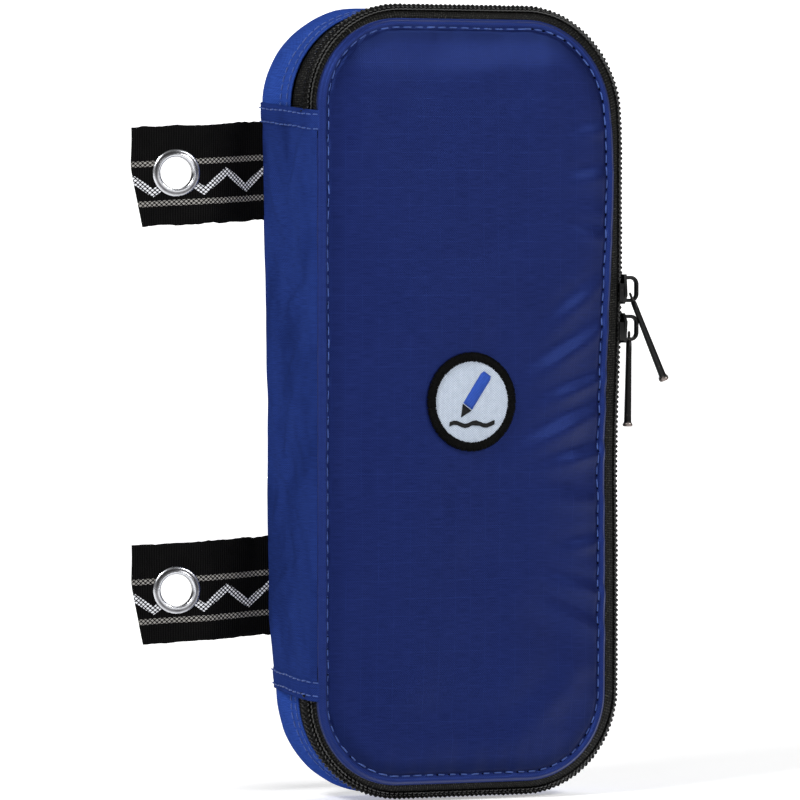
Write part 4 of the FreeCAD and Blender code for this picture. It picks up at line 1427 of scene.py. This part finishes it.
def patch_piece(name, outline, lift, base_lift, crown, finish):
    """A filled shape on the cover, domed from its outline to crown above lift."""
    work = bmesh.new()
    top = [work.verts.new((x, 0, z)) for x, z in outline]
    face = work.faces.new(top)
    bmesh.ops.triangulate(work, faces=[face])
    for _ in range(2):
        long_edges = [e for e in work.edges if e.calc_length() > 0.9 * MM]
        bmesh.ops.subdivide_edges(work, edges=long_edges, cuts=1)
        bmesh.ops.triangulate(work, faces=work.faces)
    made = bmesh.ops.extrude_face_region(work, geom=list(work.faces))
    fresh = {v for v in made["geom"] if isinstance(v, bmesh.types.BMVert)}
    layer = work.loops.layers.uv.new("cloth")
    for f in work.faces:
        for loop in f.loops:
            loop[layer].uv = (loop.vert.co.x, loop.vert.co.z)
    rim = [(outline[i], outline[(i + 1) % len(outline)]) for i in range(len(outline))]
    for v in work.verts:
        x, z = v.co.x, v.co.z
        near = 1.0
        for (ax, az), (bx, bz) in rim:
            lx, lz = bx - ax, bz - az
            t = min(max(((x - ax) * lx + (z - az) * lz) / (lx * lx + lz * lz), 0), 1)
            near = min(near, math.hypot(x - ax - lx * t, z - az - lz * t))
        rise = crown * math.sqrt(min(near / (0.55 * MM), 1))
        v.co = patch_point(x, z, (lift + rise) if v in fresh else base_lift)
    bmesh.ops.recalc_face_normals(work, faces=work.faces)
    mesh = bpy.data.meshes.new(name)
    work.to_mesh(mesh)
    work.free()
    mesh.polygons.foreach_set("use_smooth", [True] * len(mesh.polygons))
    obj = bpy.data.objects.new(name, mesh)
    bpy.context.scene.collection.objects.link(obj)
    obj.data.materials.append(finish)
    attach(obj, "cover")
    return obj


# the ground: a disc of rings in front and one behind it, joined round the edge
rings = 14
steps = 96
ground_verts = []
ground_faces = []
for layer, lift in ((0, 0.62 * MM), (1, -0.2 * MM)):
    for k in range(rings + 1):
        for i in range(steps):
            a = 2 * math.pi * i / steps
            r = (PATCH_R - 0.3 * MM) * max(k / rings, 0.002)
            ground_verts.append((r * math.cos(a), r * math.sin(a), lift))
    first = layer * (rings + 1) * steps
    for k in range(rings):
        for i in range(steps):
            j = (i + 1) % steps
            quad = (first + k * steps + i, first + (k + 1) * steps + i,
                    first + (k + 1) * steps + j, first + k * steps + j)
            ground_faces.append(quad if layer == 0 else quad[::-1])
    cap = [first + i for i in range(steps)]
    ground_faces.append(cap if layer == 0 else cap[::-1])
outer = rings * steps
for i in range(steps):
    j = (i + 1) % steps
    behind = (rings + 1) * steps + outer
    ground_faces.append((outer + i, behind + i, behind + j, outer + j))
ground = finish_mesh("patch_ground", [patch_point(*v) for v in ground_verts], ground_faces,
                     [(x, z) for x, z, _ in ground_verts])
ground.data.materials.append(ground_finish)
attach(ground, "cover")
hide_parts("patch_field")


def embroidery(name, dark, light, slant):
    """Satin stitch: close parallel threads at a slant, with a soft gloss along them."""
    finish, tree, surface = blank_material(name)
    place = cloth_map(tree)
    turned_map = tree.nodes.new("ShaderNodeMapping")
    turned_map.inputs["Rotation"].default_value = (0, 0, math.radians(slant))
    tree.links.new(place, turned_map.inputs["Vector"])
    split = tree.nodes.new("ShaderNodeSeparateXYZ")
    tree.links.new(turned_map.outputs[0], split.inputs[0])
    threads = wave(tree, split.outputs[1], 0.34 * MM)
    patches = blotches(tree, place, 900, 2.0)
    shade = times(tree, threads, maths(tree, "MULTIPLY_ADD", patches, 0.8, 0.5))
    tree.links.new(colour_mix(tree, shade, dark, light), surface.inputs["Base Color"])
    tree.links.new(bump(tree, threads, 0.10 * MM, 0.8), surface.inputs["Normal"])
    surface.inputs["Roughness"].default_value = 0.48
    surface.inputs["Specular IOR Level"].default_value = 0.12
    return finish


blue_satin = embroidery("blue_satin", (0.010, 0.035, 0.22), (0.035, 0.10, 0.46), 25)
black_satin = embroidery("black_satin", (0.0015, 0.0015, 0.0015), (0.012, 0.012, 0.012), -20)
PENCIL_TILT = math.radians(35)
PENCIL_SHIFT = (0.5, 1.5)


MOTIF_LIFT = 0.78 * MM
MOTIF_BASE = 0.4 * MM
MOTIF_CROWN = 0.28 * MM


def tilted(points):
    """The pencil's outline in its own millimetres, leaned over and moved to its place."""
    c, s = math.cos(-PENCIL_TILT), math.sin(-PENCIL_TILT)
    leaned = [(x * c - z * s, x * s + z * c) for x, z in points]
    return [((x + PENCIL_SHIFT[0]) * MM, (z + PENCIL_SHIFT[1]) * MM) for x, z in leaned]


barrel = [(-1.55, 6.0), (-1.55, -3.2), (1.55, -3.2), (1.55, 6.0), (1.2, 7.0), (-1.2, 7.0)]
point = [(-1.55, -3.5), (0, -6.7), (1.55, -3.5)]
line_mid = [(-6.6 + 1.1 * i, -5.15 + 0.45 * math.sin(i * 1.15)) for i in range(13)]
line_both = [(x, z + 0.55) for x, z in line_mid] + [(x, z - 0.55) for x, z in line_mid[::-1]]
drawn_line = [(x * MM, (z - 0.6) * MM) for x, z in line_both]
for name, outline, satin, slot, nodes in (
        ("motif_pencil_barrel", tilted(barrel[::-1]), blue_satin, "patch_blue", ("motif_pencil",)),
        ("motif_pencil_point", tilted(point), black_satin, "patch_black", ()),
        ("motif_drawn_line", drawn_line, black_satin, "patch_black", ("motif_line",))):
    motif = patch_piece(name, outline, MOTIF_LIFT, MOTIF_BASE, MOTIF_CROWN, satin)
    if nodes:
        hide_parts(*nodes)

# overlocked rim: a soft core covered by close turns of black thread
RIM_STEPS = 120
rim_core = []
for i in range(RIM_STEPS):
    a = 2 * math.pi * i / RIM_STEPS
    ring = []
    for k in range(10):
        b = 2 * math.pi * k / 10
        r = PATCH_R + (RIM_R - 0.14 * MM) * math.cos(b)
        ring.append(patch_point(r * math.cos(a), r * math.sin(a), 0.42 * MM + (0.72 * MM) * math.sin(b)))
    rim_core.append(ring)
rim_finish = mottled("black_rim_thread", 1200, (0.0003, 0.0003, 0.0003), (0.0050, 0.0050, 0.0047), 0.6, 0.04,
                     nap=(7000, 0.04, 0.6))
rim = skin("patch_rim_core", rim_core, closed=True)
rim.data.materials.append(rim_finish)
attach(rim, "cover")
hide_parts("patch_border")
wrap = bead("rim_turn", [(-1.18 * MM, -0.12 * MM, -0.15 * MM), (-0.95 * MM, -0.08 * MM, 0.42 * MM),
                         (-0.4 * MM, -0.03 * MM, 0.80 * MM), (0.4 * MM, 0.03 * MM, 0.80 * MM),
                         (0.95 * MM, 0.08 * MM, 0.42 * MM), (1.18 * MM, 0.12 * MM, -0.15 * MM)],
            [0.16 * MM, 0.2 * MM, 0.22 * MM, 0.22 * MM, 0.2 * MM, 0.16 * MM], 5)
wrap_points = []
for i in range(RIM_STEPS):
    a = -2 * math.pi * i / RIM_STEPS
    wrap_points.append(patch_point(PATCH_R * math.cos(a), PATCH_R * math.sin(a), 0.42 * MM))
rim_wraps = lay_along("patch_rim_wraps", wrap_points, [(0, -1, 0)] * RIM_STEPS, wrap, 0.40 * MM, rim_finish,
                      0.05, 0.12, 51, loop=True)
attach(rim_wraps, "cover")

# ---------------------------------------------------------------- linings and back seam
# Black lining cloth faces the foam inside both halves, and a woven tape binds the back seam's raw
# edges on the inside.
lining_finish, tree, lining_surface = blank_material("lining_taffeta")
lining_weave = tree.nodes.new("ShaderNodeGroup")
lining_weave.node_tree = ripstop_group
lining_weave.inputs["Thread"].default_value = 0.5 * MM
tree.links.new(cloth_map(tree), lining_weave.inputs["Cloth"])
lining_black = colour_mix(tree, lining_weave.outputs["Variation"], (0.0020, 0.0020, 0.0024),
                          (0.011, 0.011, 0.0125))
tree.links.new(lining_black, lining_surface.inputs["Base Color"])
tree.links.new(bump(tree, lining_weave.outputs["Height"], 0.04 * MM), lining_surface.inputs["Normal"])
lining_surface.inputs["Roughness"].default_value = 0.6
lining_surface.inputs["Specular IOR Level"].default_value = 0.2


def lining_relief(x, z, d):
    """How far a lining stands out at (x, z), d inside its edge, where it is sewn flat."""
    calm = smooth(0, 8 * MM, d)
    puff = 0.35 * MM * drift(x, z, 18, 24, 41.5)
    return calm * (0.35 * MM + puff + 0.10 * MM * drift(x, z, 7, 9, 44.5))


LINING_IN = 3 * MM
rear_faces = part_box("rear_lining")
cover_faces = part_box("front_lining")
for name, node, body, face, back, half_w, half_h, mid, radius in (
        ("rear_lining_cloth", "rear_lining", "base", rear_faces[0].y, rear_faces[1].y,
         WALL_W, WALL_H, WALL_MID, WALL_R),
        ("cover_lining_cloth", "front_lining", "cover", cover_faces[1].y, cover_faces[0].y,
         COVER_W, COVER_H, (MID_X, MID_Z), PANEL_R)):
    cloth = panel(name, mid, half_w - LINING_IN, half_h - LINING_IN, radius - LINING_IN, face, back,
                  lining_relief)
    if body == "base":
        for v in cloth.data.vertices:
            v.co = settle(*v.co)
    cloth.data.materials.append(lining_finish)
    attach(cloth, body)
    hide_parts(node)

# the binding's section: millimetres out from the wall, and back from the front of its CAD solid
BINDING = [(-1.3, 0.1), (-1.6, 0.0), (-3.3, 0.0), (-3.7, 0.3), (-3.7, 1.5), (-3.4, 1.8), (-1.6, 1.8),
           (-1.3, 1.6)]
seam_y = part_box("rear_seam_binding")[0].y
seam_rings = []
for x, z, nx, nz in wall_path(WALL_MID, WALL_W, WALL_H, WALL_R, 0.0)[:-1]:
    ring = []
    for out, y in BINDING:
        reach = out * MM + 0.12 * MM * drift(x, z, 9, 9, y)
        ring.append(settle(x + nx * reach, seam_y + y * MM, z + nz * reach))
    seam_rings.append(ring)
back_binding = skin("back_seam_binding", seam_rings, closed=True)
back_binding.data.materials.append(lining_finish)
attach(back_binding, "base")
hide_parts("rear_seam_binding")

# ---------------------------------------------------------------- sliders and pulls
# Two die-cast sliders painted black, nose to nose on the straight of the zip. Each has a bent
# crown on its outer plate and a long narrow pull with a turned-out lip, worn bare at the lip.
# The sliders stand a little further out than their solids, on the slack zip.
SLIDER_SHIFT = Vector((0.85 * MM, 0, 0))

wear_group, wear_in, wear_out = node_group(
    "paint_wear", [("Place", "Vector", None), ("Rubbed", "Float", 0.0), ("Chips", "Float", 0.15)],
    [("Bare", "Float"), ("Mottle", "Float")])
wear_coarse = blotches(wear_group, wear_in.outputs["Place"], 900, 3.0)
wear_fine = blotches(wear_group, wear_in.outputs["Place"], 4000, 2.0)
wear_sum = maths(wear_group, "ADD", times(wear_group, wear_coarse, 0.6),
                 times(wear_group, wear_fine, 0.4))
wear_chips = times(wear_group, wear_in.outputs["Chips"], 0.3)
wear_more = maths(wear_group, "MULTIPLY_ADD", wear_in.outputs["Rubbed"], 0.5, wear_chips)
wear_level = maths(wear_group, "ADD", wear_sum, wear_more)
bare = times(wear_group, maths(wear_group, "SUBTRACT", wear_level, 0.68), 9.0)
bare = maths(wear_group, "MINIMUM", maths(wear_group, "MAXIMUM", bare, 0.0), 1.0)
wear_group.links.new(bare, wear_out.inputs["Bare"])
wear_group.links.new(wear_sum, wear_out.inputs["Mottle"])

slider_paint, paint_tree, paint_surface = blank_material("black_slider_paint")
paint_place = paint_tree.nodes.new("ShaderNodeTexCoord")
paint_rub = paint_tree.nodes.new("ShaderNodeAttribute")
paint_rub.attribute_name = "rubbed"
paint_wear = paint_tree.nodes.new("ShaderNodeGroup")
paint_wear.node_tree = wear_group
paint_tree.links.new(paint_place.outputs["Object"], paint_wear.inputs["Place"])
paint_tree.links.new(paint_rub.outputs["Fac"], paint_wear.inputs["Rubbed"])
paint_black = colour_mix(paint_tree, paint_wear.outputs["Mottle"], (0.0008, 0.0008, 0.0009),
                         (0.0045, 0.0045, 0.0045))
paint_tree.links.new(colour_mix(paint_tree, paint_wear.outputs["Bare"], paint_black, (0.24, 0.205, 0.19)),
                     paint_surface.inputs["Base Color"])
paint_metal = times(paint_tree, paint_wear.outputs["Bare"], 0.9)
paint_tree.links.new(paint_metal, paint_surface.inputs["Metallic"])
paint_rough = maths(paint_tree, "MULTIPLY_ADD", paint_wear.outputs["Mottle"], 0.25, 0.22)
paint_tree.links.new(paint_rough, paint_surface.inputs["Roughness"])
paint_dents = bump(paint_tree, paint_wear.outputs["Mottle"], 0.02 * MM, 0.6)
paint_tree.links.new(paint_dents, paint_surface.inputs["Normal"])
paint_surface.inputs["Specular IOR Level"].default_value = 0.2


def cad_copy(name, node, bevel):
    """The CAD node's own solid, merged, its edges rounded as casting leaves them."""
    source = next(o for o in bpy.data.objects if o.get("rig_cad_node") == node)
    work = bmesh.new()
    work.from_mesh(source.data)
    bmesh.ops.remove_doubles(work, verts=work.verts, dist=1e-6)
    bmesh.ops.dissolve_limit(work, angle_limit=math.radians(2), verts=work.verts, edges=work.edges)
    sharp = [e for e in work.edges if len(e.link_faces) == 2 and e.calc_face_angle(0) > math.radians(30)]
    bmesh.ops.bevel(work, geom=sharp, offset=bevel, segments=2, profile=0.6, affect="EDGES",
                    clamp_overlap=True)
    mesh = bpy.data.meshes.new(name)
    work.to_mesh(mesh)
    work.free()
    mesh.polygons.foreach_set("use_smooth", [True] * len(mesh.polygons))
    mesh.set_sharp_from_angle(angle=math.radians(35))
    obj = bpy.data.objects.new(name, mesh)
    bpy.context.scene.collection.objects.link(obj)
    return obj


def oval(middle, along, thick, wide, sides=10, power=2.6):
    """A rounded section at middle, thick across the XZ line's normal and wide along Y."""
    normal = Vector((along[2], 0, -along[0])).normalized()
    ring = []
    for k in range(sides):
        a = 2 * math.pi * (k + 0.5) / sides
        c, s = math.cos(a), math.sin(a)
        c = math.copysign(abs(c) ** (2 / power), c)
        s = math.copysign(abs(s) ** (2 / power), s)
        ring.append(Vector(middle) + normal * (thick * c) + Vector((0, wide * s, 0)))
    return ring


def crown_loop(name, low, high, gap):
    """A bent strip from the plate's one end to its other; gap lifts its upper end off the plate."""
    mid = (low + high) / 2
    reach = high.x - low.x + 0.95 * MM
    half = (high.z - low.z) / 2 - 0.45 * MM
    r = 1.7 * MM
    bends = [math.radians(15 * i) for i in range(7)]
    path = [(gap, half), (0.6 * MM + gap, half)]
    path += [(reach - r + r * math.sin(a), half - r + r * math.cos(a)) for a in bends]
    path += [(reach - r + r * math.cos(a), -half + r - r * math.sin(a)) for a in bends]
    path += [(0.6 * MM, -half), (-0.5 * MM, -half + 0.2 * MM)]
    rings = []
    for i, (x, z) in enumerate(path):
        a, b = path[max(i - 1, 0)], path[min(i + 1, len(path) - 1)]
        along = Vector((b[0] - a[0], 0, b[1] - a[1])).normalized()
        rings.append(oval((low.x + x, mid.y, mid.z + z), along, 0.50 * MM, 0.85 * MM))
    return skin(name, rings)


def long_pull(name, pivot, lean, twist):
    """A slim cast pull hanging from pivot: eye ring, tapering shank, lip."""
    # millimetres below the pivot, half thickness, half width, and how bare the edge is rubbed
    stations = [(-0.9, 0.35, 0.5, 0), (-1.3, 0.52, 0.85, 0), (-2.0, 0.60, 1.25, 0), (-3.2, 0.62, 1.6, 0),
                (-6, 0.62, 1.75, 0), (-10, 0.66, 1.9, 0), (-14, 0.70, 2.0, 0), (-18, 0.74, 2.1, 0.0),
                (-21, 0.76, 2.15, 0.05), (-22.5, 0.78, 2.2, 0.1), (-22.9, 0.84, 2.25, 0.2),
                (-23.1, 1.02, 2.35, 0.5), (-23.45, 1.08, 2.38, 0.75), (-23.75, 1.02, 2.30, 0.75),
                (-23.85, 0.85, 2.1, 0.6)]
    rings = []
    rubbed = []
    for z, thick, wide, rub in stations:
        rings.append(oval((0, 0, z * MM), Vector((0, 0, 1)), thick * 1.25 * MM, wide * MM, 14, 3.4))
        rubbed += [rub] * 14
    shank = skin(name, rings)
    work = bmesh.new()
    work.from_mesh(shank.data)
    rub_layer = work.verts.layers.float.new("rubbed")
    for v in work.verts:
        v[rub_layer] = rubbed[v.index] if v.index < len(rubbed) else 0.0
    steps, sides = 20, 8
    eye = []
    for i in range(steps):
        a = 2 * math.pi * i / steps
        for k in range(sides):
            b = 2 * math.pi * k / sides
            r = 1.12 + 0.34 * math.cos(b)
            v = work.verts.new(Vector((0.34 * math.sin(b), r * math.sin(a), r * math.cos(a) - 0.15)) * MM)
            v[rub_layer] = 0.15
            eye.append(v)
    for i in range(steps):
        for k in range(sides):
            j, m = (i + 1) % steps, (k + 1) % sides
            corners = (i * sides + k, i * sides + m, j * sides + m, j * sides + k)
            face = work.faces.new([eye[c] for c in corners])
            face.smooth = True
    bmesh.ops.recalc_face_normals(work, faces=work.faces)
    c, s = math.cos(math.radians(twist)), math.sin(math.radians(twist))
    lc, ls = math.cos(math.radians(lean)), math.sin(math.radians(lean))
    for v in work.verts:
        x, y, z = v.co
        x, y = x * c - y * s, x * s + y * c
        v.co = Vector(pivot) + Vector((x * lc - z * ls, y, x * ls + z * lc))
    work.to_mesh(shank.data)
    work.free()
    return shank


for which, lean, gap in (("upper", 24.0, 0.45 * MM), ("lower", -1.0, -0.3 * MM)):
    body = cad_copy("slider_cast_" + which, "slider_body_" + which, 0.22 * MM)
    low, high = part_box("slider_crown_" + which)
    low, high = low + SLIDER_SHIFT, high + SLIDER_SHIFT
    for v in body.data.vertices:
        v.co += SLIDER_SHIFT
    loop = crown_loop("slider_loop_" + which, low, high, gap)
    pivot = Vector((low.x + (2.8 if which == "upper" else 2.1) * MM, (low.y + high.y) / 2, low.z + 1.35 * MM))
    hung = long_pull("slider_pull_" + which, pivot, lean, -25.0)
    for piece, node, rides in ((body, "slider_body_", "slider_"), (loop, "slider_crown_", "slider_"),
                               (hung, "pull_", "pull_")):
        piece.data.materials.clear()
        piece.data.materials.append(slider_paint)
        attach(piece, rides + which)
        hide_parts(node + which)
